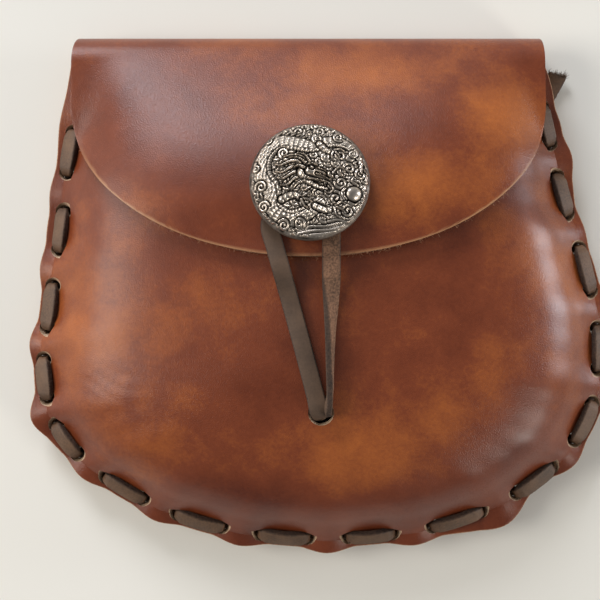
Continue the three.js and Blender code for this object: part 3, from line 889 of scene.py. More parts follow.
@dataclass(frozen=True)
class AntiquedLeather(Finish):
    """Vegetable-tanned cowhide, dyed by hand and waxed.

    It gives the eye a cloudy cognac colour, from burnt brown to orange, and a satin shine that a fine pebble
    grain breaks up. Its points carry a tone from -1, dark, to 1, light, which on the front also holds painted
    light and shade, how far the dye is worn off, and how far the grain is rubbed smooth.
    """

    name: str = "antiqued_cognac_leather"
    dark: str = "#4f1d0b"
    middle: str = "#74371d"
    light: str = "#a85d29"
    bare: str = "#a97a55"
    # Clouds of the dye: size in millimetres, and how far they swing the tone
    clouds: tuple[Pair, ...] = ((26.0, 1.5), (8.0, 1.05), (0.9, 0.65))
    cloud_bend: float = 0.5
    cloud_middle: float = 0.5
    grain_mm: float = 0.3
    grain_depth_mm: float = 0.07
    grain_strength: float = 0.6
    pore_mm: float = 0.15
    pore_share: float = 0.5
    # Roughness in the grain's hollows and on its tops, the height of a top, and the share where it is rubbed
    roughness: Pair = (0.22, 0.34)
    grain_top: float = 0.9
    rubbed_share: float = 0.85
    shine: float = 1.44

    def surface(self, tree: Tree, place: Socket) -> Inputs:
        """Mixes the colour by tone, painted light and shade included, and by clouds, and roughens the wax by
        the grain.
        """
        tone = put(tree, "Attribute", {}, "Fac", attribute_name="tone")
        for size, share in self.clouds:
            inputs = {"Vector": place, "Scale": per_metre(size), "Detail": 3.0, "Distortion": self.cloud_bend}
            cloud = put(tree, "TexNoise", inputs, "Fac")
            swing = put(tree, "Math", {0: cloud, 1: self.cloud_middle}, operation="SUBTRACT")
            tone = put(tree, "Math", {0: swing, 1: share, 2: tone}, operation="MULTIPLY_ADD")
        low = put(tree, "MapRange", {"Value": tone, "From Min": -1.0, "From Max": 0.0})
        high = put(tree, "MapRange", {"Value": tone, "From Min": 0.0, "From Max": 1.0})
        worn = put(tree, "Attribute", {}, "Fac", attribute_name="bare")
        dye = tint(tree, self.dark, (low, self.middle), (high, self.light), (worn, self.bare))
        pebble = put(tree, "TexVoronoi", {"Vector": place, "Scale": per_metre(self.grain_mm)}, "Distance")
        inputs = {"Vector": place, "Scale": per_metre(self.pore_mm), "Detail": 2.0}
        pores = put(tree, "TexNoise", inputs, "Fac")
        grain = put(tree, "Math", {0: pores, 1: self.pore_share, 2: pebble}, operation="MULTIPLY_ADD")
        polish = put(tree, "Attribute", {}, "Fac", attribute_name="polish")
        relief = put(tree, "MapRange", {"Value": polish, "To Min": self.grain_strength, "To Max": 0.0})
        bump = put(tree, "Bump", {"Strength": relief, "Distance": self.grain_depth_mm * MM, "Height": grain})
        hollow, top = self.roughness
        inputs = {"Value": grain, "From Max": self.grain_top, "To Min": hollow, "To Max": top}
        wax = put(tree, "MapRange", inputs)
        rubbed = put(tree, "MapRange", {"Value": polish, "To Min": 1.0, "To Max": self.rubbed_share})
        satin = put(tree, "Math", {0: wax, 1: rubbed}, operation="MULTIPLY")
        return {"Base Color": dye, "Normal": bump, "Roughness": satin, "IOR": self.shine}


@dataclass(frozen=True)
class RawLeather(Finish):
    """Undyed leather that shows where it is cut, or its flesh side.

    It gives the eye a pale dry tan with fibres and no shine. Its points carry how far dye has stained them.
    """

    pale: str
    deep: str
    fibre_mm: float
    depth_mm: float
    dyed: str = "#5a2c17"
    fibre_range: Pair = (0.35, 0.65)
    fibre_strength: float = 0.6
    dryness: float = 0.85

    def surface(self, tree: Tree, place: Socket) -> Inputs:
        """Mixes pale and deep fibres, and raises them."""
        inputs = {"Vector": place, "Scale": per_metre(self.fibre_mm), "Detail": 4.0}
        fibre = put(tree, "TexNoise", inputs, "Fac")
        low, high = self.fibre_range
        share = put(tree, "MapRange", {"Value": fibre, "From Min": low, "From Max": high})
        stain = put(tree, "Attribute", {}, "Fac", attribute_name="stain")
        shade = tint(tree, self.deep, (share, self.pale), (stain, self.dyed))
        inputs = {"Strength": self.fibre_strength, "Distance": self.depth_mm * MM, "Height": fibre}
        return {"Base Color": shade, "Normal": put(tree, "Bump", inputs), "Roughness": self.dryness}


@dataclass(frozen=True)
class StripLeather(Finish):
    """Oil-tanned leather cut into flat strips.

    It gives the eye a dull smooth face and darker, speckled cut edges, with a rough flesh side below. Its
    points carry how far they lie on the cut edge and on the flesh side.
    """

    face: str
    edge: str
    flesh: str
    # Strength of the specks on the face, and what the rough sides add to it
    fuzz: float = 0.15
    rough_fuzz: float = 0.6
    speck_mm: float = 0.5
    speck_range: Pair = (0.3, 0.7)
    speck_swing: float = 0.5
    cloud_mm: float = 6.0
    depth_mm: float = 0.12
    brightness: Pair = (0.35, 1.65)
    roughness: Pair = (0.62, 0.9)

    def surface(self, tree: Tree, place: Socket) -> Inputs:
        """Mixes the sides' colours, and speckles them most where the leather is rough."""
        cut = put(tree, "Attribute", {}, "Fac", attribute_name="cut")
        under = put(tree, "Attribute", {}, "Fac", attribute_name="flesh")
        inputs = {"Vector": place, "Scale": per_metre(self.speck_mm), "Detail": 3.0}
        speck = put(tree, "TexNoise", inputs, "Fac")
        inputs = {"Vector": place, "Scale": per_metre(self.cloud_mm), "Detail": 2.0}
        cloud = put(tree, "TexNoise", inputs, "Fac")
        sides = tint(tree, self.face, (under, self.flesh), (cut, self.edge))
        rough = put(tree, "Math", {0: cut, 1: under}, operation="MAXIMUM")
        low, high = self.speck_range
        inputs = {"Value": speck, "From Min": low, "From Max": high}
        inputs |= {"To Min": -self.speck_swing, "To Max": self.speck_swing}
        swing = put(tree, "MapRange", inputs)
        strength = put(tree, "Math", {0: rough, 1: self.rough_fuzz, 2: self.fuzz}, operation="MULTIPLY_ADD")
        spread = put(tree, "Math", {0: swing, 1: strength, 2: cloud}, operation="MULTIPLY_ADD")
        dim, bright = self.brightness
        value = put(tree, "MapRange", {"Value": spread, "To Min": dim, "To Max": bright})
        whole = put(tree, "HueSaturation", {"Value": value, "Color": sides})
        bump = put(tree, "Bump", {"Strength": strength, "Distance": self.depth_mm * MM, "Height": speck})
        dull, dry = self.roughness
        gloss = put(tree, "MapRange", {"Value": rough, "To Min": dull, "To Max": dry})
        return {"Base Color": whole, "Normal": bump, "Roughness": gloss}


@dataclass(frozen=True)
class AntiqueSilver(Finish):
    """Silver-plated casting, blackened and then rubbed bright on its high places.

    It gives the eye bright worn ridges over nearly black recesses. Its points carry how deep they lie in a
    recess, from 0 to 1.
    """

    name: str = "cast_antique_silver"
    bright: str = "#cdc1b3"
    black: str = "#100d0b"
    tarnish_mm: float = 2.2
    tarnish_range: Pair = (0.3, 0.7)
    tarnish_share: Pair = (-0.12, 0.16)
    roughness: Pair = (0.24, 0.62)

    def surface(self, tree: Tree, place: Socket) -> Inputs:
        """Blackens the recesses, with a cloudy film of tarnish over all."""
        recess = put(tree, "Attribute", {}, "Fac", attribute_name="recess")
        inputs = {"Vector": place, "Scale": per_metre(self.tarnish_mm), "Detail": 4.0}
        cloud = put(tree, "TexNoise", inputs, "Fac")
        low, high = self.tarnish_range
        thin, thick = self.tarnish_share
        inputs = {"Value": cloud, "From Min": low, "From Max": high, "To Min": thin, "To Max": thick}
        film = put(tree, "MapRange", inputs)
        dark = put(tree, "Math", {0: recess, 1: film}, operation="ADD", use_clamp=True)
        worn, cast = self.roughness
        gloss = put(tree, "MapRange", {"Value": dark, "To Min": worn, "To Max": cast})
        shade = tint(tree, self.bright, (dark, self.black))
        return {"Base Color": shade, "Roughness": gloss, "Metallic": 1.0}


@dataclass(frozen=True)
class PlainNickel(Finish):
    """Nickel-plated steel.

    It gives the eye a grey even metal with fine marks that break up its shine.
    """

    name: str = "plain_nickel"
    metal: str = "#9a9894"
    mark_mm: float = 0.3
    roughness: Pair = (0.25, 0.45)

    def surface(self, tree: Tree, place: Socket) -> Inputs:
        """Roughens the plating by its fine marks."""
        inputs = {"Vector": place, "Scale": per_metre(self.mark_mm), "Detail": 2.0}
        marks = put(tree, "TexNoise", inputs, "Fac")
        smooth, marked = self.roughness
        gloss = put(tree, "MapRange", {"Value": marks, "To Min": smooth, "To Max": marked})
        return {"Base Color": colour(self.metal), "Roughness": gloss, "Metallic": 1.0}


@dataclass(frozen=True)
class PaleTable(Finish):
    """Painted table top, plain and pale.

    It gives the eye a soft, almost white ground with the faintest unevenness.
    """

    name: str = "pale_table"
    pale: str = "#e8e5dc"
    dim: str = "#e1ded4"
    cloud_mm: float = 90.0
    roughness: float = 0.6

    def surface(self, tree: Tree, place: Socket) -> Inputs:
        """Clouds the paint faintly."""
        inputs = {"Vector": place, "Scale": per_metre(self.cloud_mm), "Detail": 2.0}
        cloud = put(tree, "TexNoise", inputs, "Fac")
        return {"Base Color": tint(tree, self.dim, (cloud, self.pale)), "Roughness": self.roughness}


RAW_EDGE = RawLeather("raw_cut_edge", pale="#b88f6c", deep="#7d5238", fibre_mm=0.5, depth_mm=0.1)
PUNCHED_EDGE = RawLeather("raw_punched_edge", pale="#dcc4a6", deep="#a98262", fibre_mm=0.5, depth_mm=0.1)
FLESH_SIDE = RawLeather("suede_flesh_side", pale="#a27d58", deep="#7f5d3f", fibre_mm=0.9, depth_mm=0.2)
LACE_LEATHER = StripLeather("oiled_lace_leather", face="#5c432f", edge="#38271c", flesh="#6a5038", fuzz=0.35)
THONG_LEATHER = StripLeather("oiled_thong_leather", face="#544030", edge="#3a2a1f", flesh="#765640")


@dataclass(frozen=True)
class DyeAndLightPatch:
    """A lighter or darker patch of dye and, on the front, of painted light and shade: its middle, spread and
    strength.
    """

    x: float
    y: float
    wide: float
    tall: float
    tone: float


def tone_at(patches: Sequence[DyeAndLightPatch], x: Array, y: Array) -> Array:
    """Adds up the patches of dye and of painted light and shade over plan places.

    Args:
        patches: the patches.
        x: places across.
        y: places up.

    Returns:
        Tones.
    """
    total = np.zeros_like(x)
    for patch in patches:
        total += patch.tone * np.exp(-(((x - patch.x) / patch.wide) ** 2) - ((y - patch.y) / patch.tall) ** 2)
    return total


# Pieces


@dataclass(frozen=True)
class LooseFibres:
    """Short fibres that stand out of a raw cut edge."""

    radius: float = 0.06
    shortest: float = 0.3
    longest: float = 0.75
    steps: int = 3
    spread: float = 0.6
    curl: float = 0.3
    tip: float = 0.3

    def grow(self, name: str, roots: Array, ways: Array, material: Material) -> Piece:
        """Makes one fibre at each root.

        Args:
            name: the object's name.
            roots: where the fibres start.
            ways: the directions that they stand out in, of length one.
            material: what they wear.

        Returns:
            All the fibres as one mesh.
        """
        chance = np.random.default_rng(len(roots))
        curve = bpy.data.curves.new(name, "CURVE")
        curve.dimensions = "3D"
        curve.bevel_depth = self.radius * MM
        curve.bevel_resolution = 0
        curve.use_fill_caps = True
        for root, way in zip(roots, ways):
            lean = way + chance.normal(0.0, self.spread, 3)
            length = chance.uniform(self.shortest, self.longest)
            spline = curve.splines.new("POLY")
            spline.points.add(self.steps)
            for k in range(self.steps + 1):
                share = k / self.steps
                bend = self.curl * share * chance.normal(0.0, 1.0, 3)
                spline.points[k].co = (*((root + length * share * (lean + bend)) * MM), 1.0)
                spline.points[k].radius = 1.0 - (1.0 - self.tip) * share
        fibres = bpy.data.objects.new(name, curve)
        bpy.context.collection.objects.link(fibres)
        choose(fibres)
        bpy.ops.object.convert(target="MESH")
        wear(fibres, material)
        return fibres


def make_wall(panel: Piece, leather: AntiquedLeather, thickness: float, edge_round: float) -> None:
    """Turns a panel's middle surface into a wall with a grain side, a flesh side and a raw cut edge.

    Args:
        panel: the middle surface.
        leather: finish of its grain side.
        thickness: thickness of the leather.
        edge_round: how far the borders of the cut edge are rounded.
    """
    wear(panel, leather.material(), FLESH_SIDE.material(), RAW_EDGE.material())
    apply_modifier(
        panel,
        "SOLIDIFY",
        thickness=thickness * MM,
        offset=0.0,
        use_quality_normals=True,
        material_offset=Side.FLESH.value,
        material_offset_rim=Side.EDGE.value,
    )
    round_rim(panel, edge_round)


@dataclass(frozen=True)
class FrontPanel:
    """The domed front, gathered along the seam."""

    form: PouchForm
    # The cut before gathering, in metres and square metres
    flat: Pair = (0.178, 0.152)
    flat_area: float = 0.0191
    steps_a_stitch: int = 24
    edge_rows: int = 6
    inner_rows: int = 58
    crowding: float = 1.5
    edge_round: float = 0.4
    hole_radius: float = 1.8
    hole_flare: float = 0.25
    thong_hole: Triple = (1.0, -28.9, 3.0)
    # Darker towards the hole line: painted shade along the seam, and how fast it fades inwards
    seam_painted_shade: float = -0.2
    seam_painted_shade_fade: float = 0.16
    # Shoulder that is rubbed smooth: its stations, and its inset with the spread to both sides
    polish_from: float = 8.5
    polish_run: float = 2.0
    polish_inset: float = 0.14
    polish_spread: float = 0.08
    polish_share: float = 0.6
    patches: tuple[DyeAndLightPatch, ...] = (
        # Lighter on the left and right flanks: painted light where the side lights fall
        DyeAndLightPatch(-58.0, -14.0, 13.0, 28.0, 0.5),
        DyeAndLightPatch(64.0, 2.0, 10.0, 24.0, 0.5),
        DyeAndLightPatch(-24.0, -2.0, 12.0, 9.0, 0.2),
        DyeAndLightPatch(8.0, -43.0, 22.0, 10.0, 0.55),
        DyeAndLightPatch(30.0, -28.0, 9.0, 12.0, 0.3),
        # Darker low on the front: painted shade where the dome turns away from the light, with darker dye
        DyeAndLightPatch(-16.0, -51.0, 16.0, 7.0, -0.5),
        DyeAndLightPatch(22.0, -54.0, 16.0, 7.0, -0.7),
        DyeAndLightPatch(-10.0, -22.0, 14.0, 10.0, -0.2),
        DyeAndLightPatch(33.0, -6.0, 16.0, 10.0, -0.3),
        DyeAndLightPatch(41.0, -17.0, 8.0, 8.0, 0.25),
        # Darker low on the right: painted shade where the dome turns down, with darker dye
        DyeAndLightPatch(48.0, -40.0, 16.0, 8.0, -0.4),
    )

    def build(self) -> list[Piece]:
        """Makes the panel, punches it and dresses it.

        Returns:
            The finished piece, in a list.
        """
        inner = (np.arange(self.inner_rows + 1) / self.inner_rows) ** self.crowding
        outer = -np.arange(self.edge_rows, 0, -1) / self.edge_rows
        insets = np.concatenate([outer, inner])[::-1]
        stations = np.linspace(0.0, self.form.seam.end, self.form.seam.end * self.steps_a_stitch + 1)
        station, inset = np.meshgrid(stations, insets, indexing="ij")
        panel = grid_of("front_panel_leather", self.form.front_surface(station, inset))
        merge_doubles(panel)
        make_wall(panel, AntiquedLeather(), self.form.leather, self.edge_round)
        self.punch_holes(panel)
        place = points_of(panel)
        station_at, inset_at = self.form.front_place(place[:, 0], place[:, 1])
        # Tone: dye patches, painted light on the flanks, and painted shade low down and along the seam
        tone = tone_at(self.patches, place[:, 0], place[:, 1])
        tone += self.seam_painted_shade * np.exp(-inset_at / self.seam_painted_shade_fade)
        paint(panel, "tone", tone)
        band = np.exp(-(((inset_at - self.polish_inset) / self.polish_spread) ** 2))
        right = smooth_step((station_at - self.polish_from) / self.polish_run)
        paint(panel, "polish", self.polish_share * band * right)
        smooth_shade(panel)
        dress(panel, Node.FRONT)
        return [panel]

    def punch_holes(self, panel: Piece) -> None:
        """Cuts the lace holes and the thong's hole, wider at the top.

        Args:
            panel: the front.
        """
        stations = self.form.seam.holes()
        places = [(x, y, self.hole_radius) for x, y in self.form.seam.point(stations)]
        middle = self.form.front_section(stations, np.zeros_like(stations))
        x, y, _ = self.thong_hole
        top = self.form.front_height(np.array([x]), np.array([y]))
        reach = 2.0 * self.form.leather
        heights = np.concatenate([middle, top])
        cutter = round_posts([*places, self.thong_hole], heights, reach, self.hole_flare)
        wear(cutter, PUNCHED_EDGE.material())
        punch(panel, cutter)


@dataclass(frozen=True)
class BackAndFlap:
    """The back, the top fold and the flap, cut in one piece."""

    form: PouchForm
    steps_a_stitch: int = 16
    edge_rows: int = 4
    inner_rows: int = 56
    fold_rows: int = 20
    straight_rows: int = 12
    oval_rows: int = 44
    edge_round: float = 0.6
    # Dye worn off along the flap's cut edge: how far in, and how it varies in fine swaying and slow waves
    bare_reach: float = 0.4
    bare_uneven: float = 0.7
    bare_fine: float = 1.9
    bare_sway: float = 2.0
    bare_sway_rate: float = 0.7
    bare_slow: float = 0.83
    bare_phase: float = 0.5
    stain_from: float = 24.0
    stain_run: float = 18.0
    # Loose fibres along the flap's curve, up to an angle from its ends
    fibre_count: int = 640
    fibre_turn: float = 0.3
    fibre_root: float = 0.4
    fibre_level: float = 0.4
    loose: LooseFibres = LooseFibres(shortest=0.35, longest=0.85)
    # The cut before folding, in metres and square metres
    flat: Pair = (0.157, 0.200)
    flat_area: float = 0.0244
    hole_radius: float = 1.65
    screw_hole: Triple = (-1.8, 26.7, 2.6)
    patches: tuple[DyeAndLightPatch, ...] = (
        DyeAndLightPatch(8.0, 57.0, 16.0, 7.0, 0.9),
        DyeAndLightPatch(46.0, 46.0, 13.0, 10.0, 1.0),
        DyeAndLightPatch(31.0, 27.0, 15.0, 8.0, 0.7),
        DyeAndLightPatch(26.0, 43.0, 10.0, 7.0, -0.35),
        DyeAndLightPatch(-24.0, 31.0, 16.0, 10.0, -0.45),
        DyeAndLightPatch(-36.0, 52.0, 20.0, 10.0, -0.3),
    )

    def flap_points(self, mouth: Array) -> Array:
        """Points of the fold and the flap, in rows from the back's mouth row to the tip.

        Args:
            mouth: the back's mouth row, from left to right.

        Returns:
            Rows by columns by three, with the columns from right to left.
        """
        form = self.form
        left, right = mouth[0, 0], mouth[-1, 0]
        column = (2.0 * mouth[:, 0] - left - right) / (right - left)
        rows = []
        axis = 0.5 * form.leather + form.fold_radius
        turn_end = form.fold_turn(form.flap_middle + column * form.flap_half)
        for k in range(self.fold_rows):
            turn = turn_end * k / self.fold_rows
            begin = np.maximum(0.0, np.cos(turn))
            finish = np.maximum(0.0, -np.cos(turn))
            bend = 1.0 - begin - finish
            middle = begin * 0.5 * (left + right) + bend * form.fold_middle + finish * form.flap_middle
            half = begin * 0.5 * (right - left) + bend * form.fold_half + finish * form.flap_half
            y = form.seam.mouth_y + form.fold_radius * np.sin(turn)
            z = axis - form.fold_radius * np.cos(turn)
            rows.append(np.stack([middle + column * half, y, z], axis=-1))
        start = form.seam.mouth_y + form.fold_radius * np.sin(turn_end)
        for k in range(self.straight_rows):
            x = form.flap_middle + column * form.flap_half
            y = start + (form.flap_straight_to - start) * k / self.straight_rows
            rows.append(np.stack([x, y, form.flap_height(x, y)], axis=-1))
        for k in range(self.oval_rows + 1):
            drop = k / self.oval_rows
            x = form.flap_middle + form.flap_half * column * np.sqrt(1.0 - 0.5 * drop**2)
            depth = form.flap_straight_to - form.flap_tip
            y = form.flap_straight_to - depth * drop * np.sqrt(1.0 - 0.5 * column**2)
            rows.append(np.stack([x, y, form.flap_height(x, y)], axis=-1))
        return np.array(rows)[:, ::-1]

    def near_edge(self, x: Array, y: Array) -> Array:
        """How far the dye is worn off towards the flap's cut edge, from 0 to 1.

        Args:
            x: places across.
            y: places up.

        Returns:
            Shares.
        """
        form = self.form
        drop = np.maximum(0.0, (form.flap_straight_to - y) / (form.flap_straight_to - form.flap_tip))
        reach = (x - form.flap_middle) / form.flap_half
        inside = (1.0 - np.hypot(drop, reach)) * (form.flap_straight_to - form.flap_tip)
        fine = np.sin(self.bare_fine * x + self.bare_sway * np.sin(self.bare_sway_rate * x))
        uneven = 1.0 + self.bare_uneven * fine * np.sin(self.bare_slow * x + self.bare_phase)
        return (1.0 - smooth_step(inside / (self.bare_reach * uneven))) * (1.0 - self.stained(y))

    def stained(self, y: Array) -> Array:
        """How far dye has stained the cut edge: not on the flap's curve, but up along its sides."""
        return smooth_step((y - self.stain_from) / self.stain_run)

    def fibres(self) -> Piece:
        """Makes the loose fibres that stand out of the flap's raw edge.

        Returns:
            All the fibres as one mesh.
        """
        form = self.form
        chance = np.random.default_rng(self.fibre_count)
        turn = chance.uniform(self.fibre_turn, math.pi - self.fibre_turn, self.fibre_count)
        out = np.column_stack([np.cos(turn), -np.sin(turn)])
        size = np.array([form.flap_half, form.flap_straight_to - form.flap_tip])
        edge = np.array([form.flap_middle, form.flap_straight_to]) + size * out
        level = form.flap_height(edge[:, 0], edge[:, 1])
        level = level + self.fibre_level * form.leather * chance.uniform(-1.0, 1.0, self.fibre_count)
        roots = np.column_stack([edge - self.fibre_root * out, level])
        ways = np.column_stack([out, np.zeros_like(turn)])
        return self.loose.grow("flap_fibres", roots, ways, RAW_EDGE.material())

    def build(self) -> list[Piece]:
        """Makes the panel, punches it and dresses it.

        Returns:
            The finished panel and its fibres.
        """
        form = self.form
        inner = np.arange(self.inner_rows + 1) / self.inner_rows
        outer = -np.arange(self.edge_rows, 0, -1) / self.edge_rows
        stations = np.linspace(0.0, form.seam.end, form.seam.end * self.steps_a_stitch + 1)
        station, inset = np.meshgrid(stations, np.concatenate([outer, inner]), indexing="ij")
        back_points = form.back_surface(station, inset)
        mouth = np.concatenate([back_points[0], back_points[-1, -2::-1]])
        back = grid_of("back_and_flap_leather", back_points)
        panel = join(back, grid_of("flap", self.flap_points(mouth)))
        merge_doubles(panel)
        make_wall(panel, AntiquedLeather("antiqued_flap_leather"), form.leather, self.edge_round)
        self.punch_holes(panel)
        place = points_of(panel)
        on_top = smooth_step((place[:, 2] - form.fold_radius) / form.fold_radius)
        paint(panel, "bare", on_top * self.near_edge(place[:, 0], place[:, 1]))
        paint(panel, "stain", on_top * self.stained(place[:, 1]))
        paint(panel, "tone", on_top * tone_at(self.patches, place[:, 0], place[:, 1]))
        smooth_shade(panel)
        dress(panel, Node.BACK)
        fibres = self.fibres()
        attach(fibres, BODY)
        return [panel, fibres]

    def punch_holes(self, panel: Piece) -> None:
        """Cuts the lace holes and the screw's hole.

        Args:
            panel: the back and flap.
        """
        form = self.form
        stations = form.seam.holes()
        places = [(x, y, self.hole_radius) for x, y in form.seam.point(stations)]
        middle = form.back_height(stations, np.zeros_like(stations))
        x, y, _ = self.screw_hole
        top = form.flap_height(np.array([x]), np.array([y]))
        reach = 1.5 * form.leather
        cutter = round_posts([*places, self.screw_hole], np.concatenate([middle, top]), reach)
        wear(cutter, PUNCHED_EDGE.material())
        punch(panel, cutter)


@dataclass
class Strip:
    """A flat strip of leather along a route, with rounded corners."""

    points: list[Array] = field(default_factory=list)
    across: list[Array] = field(default_factory=list)
    halves: list[float] = field(default_factory=list)
    thick: float = 1.6
    corner: float = 0.45
    corner_steps: int = 4
    steps: int = 8
    # Unevenness of the cut edges, but for some places at both ends
    ragged: float = 0.0
    even_ends: int = 2

    def add(self, point: Array, across: Array, half: float) -> None:
        """Adds one place of the route, with the direction of the strip's width and its half width.

        Args:
            point: the place.
            across: direction of the width.
            half: half the width.
        """
        self.points.append(np.asarray(point, float))
        self.across.append(np.asarray(across, float) / np.linalg.norm(across))
        self.halves.append(half)

    def route(self) -> tuple[Array, Array, Array]:
        """Follows the places smoothly.

        Returns:
            Points, width directions and half widths.
        """
        known = np.column_stack([np.array(self.points), np.array(self.across), np.array(self.halves)])
        chords = np.linalg.norm(np.diff(known[:, :3], axis=0), axis=1)
        ends = [2.0 * known[0] - known[1], 2.0 * known[-1] - known[-2]]
        rows = np.vstack([ends[0], known, ends[1]])
        knots = np.concatenate([[0.0], np.cumsum(np.sqrt(np.concatenate([chords[:1], chords, chords[-1:]])))])
        made = []
        for k in range(1, len(rows) - 2):
            t0, t1, t2, t3 = knots[k - 1 : k + 3]
            last = k == len(rows) - 3
            share = np.arange(self.steps + int(last)) / self.steps
            t = (t1 + (t2 - t1) * share)[:, None]
            a1 = between(t, t0, t1, rows[k - 1], rows[k])
            a2 = between(t, t1, t2, rows[k], rows[k + 1])
            a3 = between(t, t2, t3, rows[k + 1], rows[k + 2])
            b1 = between(t, t0, t2, a1, a2)
            b2 = between(t, t1, t3, a2, a3)
            made.append(between(t, t1, t2, b1, b2))
        line = np.vstack(made)
        return line[:, :3], line[:, 3:6], line[:, 6]

    def build(self, name: str) -> Piece:
        """Makes the strip, whose points carry how far they lie on the cut edge and on the flesh side.

        Args:
            name: the object's name.

        Returns:
            The closed strip.
        """
        middle, across, half = self.route()
        along = np.gradient(middle, axis=0)
        along /= np.linalg.norm(along, axis=1, keepdims=True)
        width = across - along * (across * along).sum(axis=1, keepdims=True)
        width /= np.linalg.norm(width, axis=1, keepdims=True)
        depth = np.cross(along, width)
        rows, cut, flesh = [], [], []
        quarter = np.linspace(0.0, 0.5 * math.pi, self.corner_steps)
        for turn, (side, up) in enumerate(((1, 1), (-1, 1), (-1, -1), (1, -1))):
            for angle in quarter + 0.5 * math.pi * turn:
                a = side * (half - self.corner) + self.corner * math.cos(angle)
                b = up * (0.5 * self.thick - self.corner) + self.corner * math.sin(angle)
                rows.append(middle + width * a[:, None] + depth * b)
                cut.append(abs(math.cos(angle)))
                flesh.append(1.0 if up < 0 else 0.0)
        rows.append(rows[0])
        cut.append(cut[0])
        flesh.append(flesh[0])
        points = np.stack(rows, axis=1)
        frays = np.random.default_rng(len(points)).normal(0.0, self.ragged, (len(points), len(rows) - 1, 1))
        inner = slice(self.even_ends, -self.even_ends)
        points[inner, :-1] += frays[inner] * width[inner, None]
        points[:, -1] = points[:, 0]
        strip = grid_of(name, points)
        paint(strip, "cut", np.tile(cut, len(points)))
        paint(strip, "flesh", np.tile(flesh, len(points)))
        merge_doubles(strip, close_ends=True)
        return strip


@dataclass(frozen=True)
class TailPlace:
    """One place of the lace's loose tail, with the turn of its width from across the seam to along it."""

    x: float
    y: float
    z: float
    turn: float


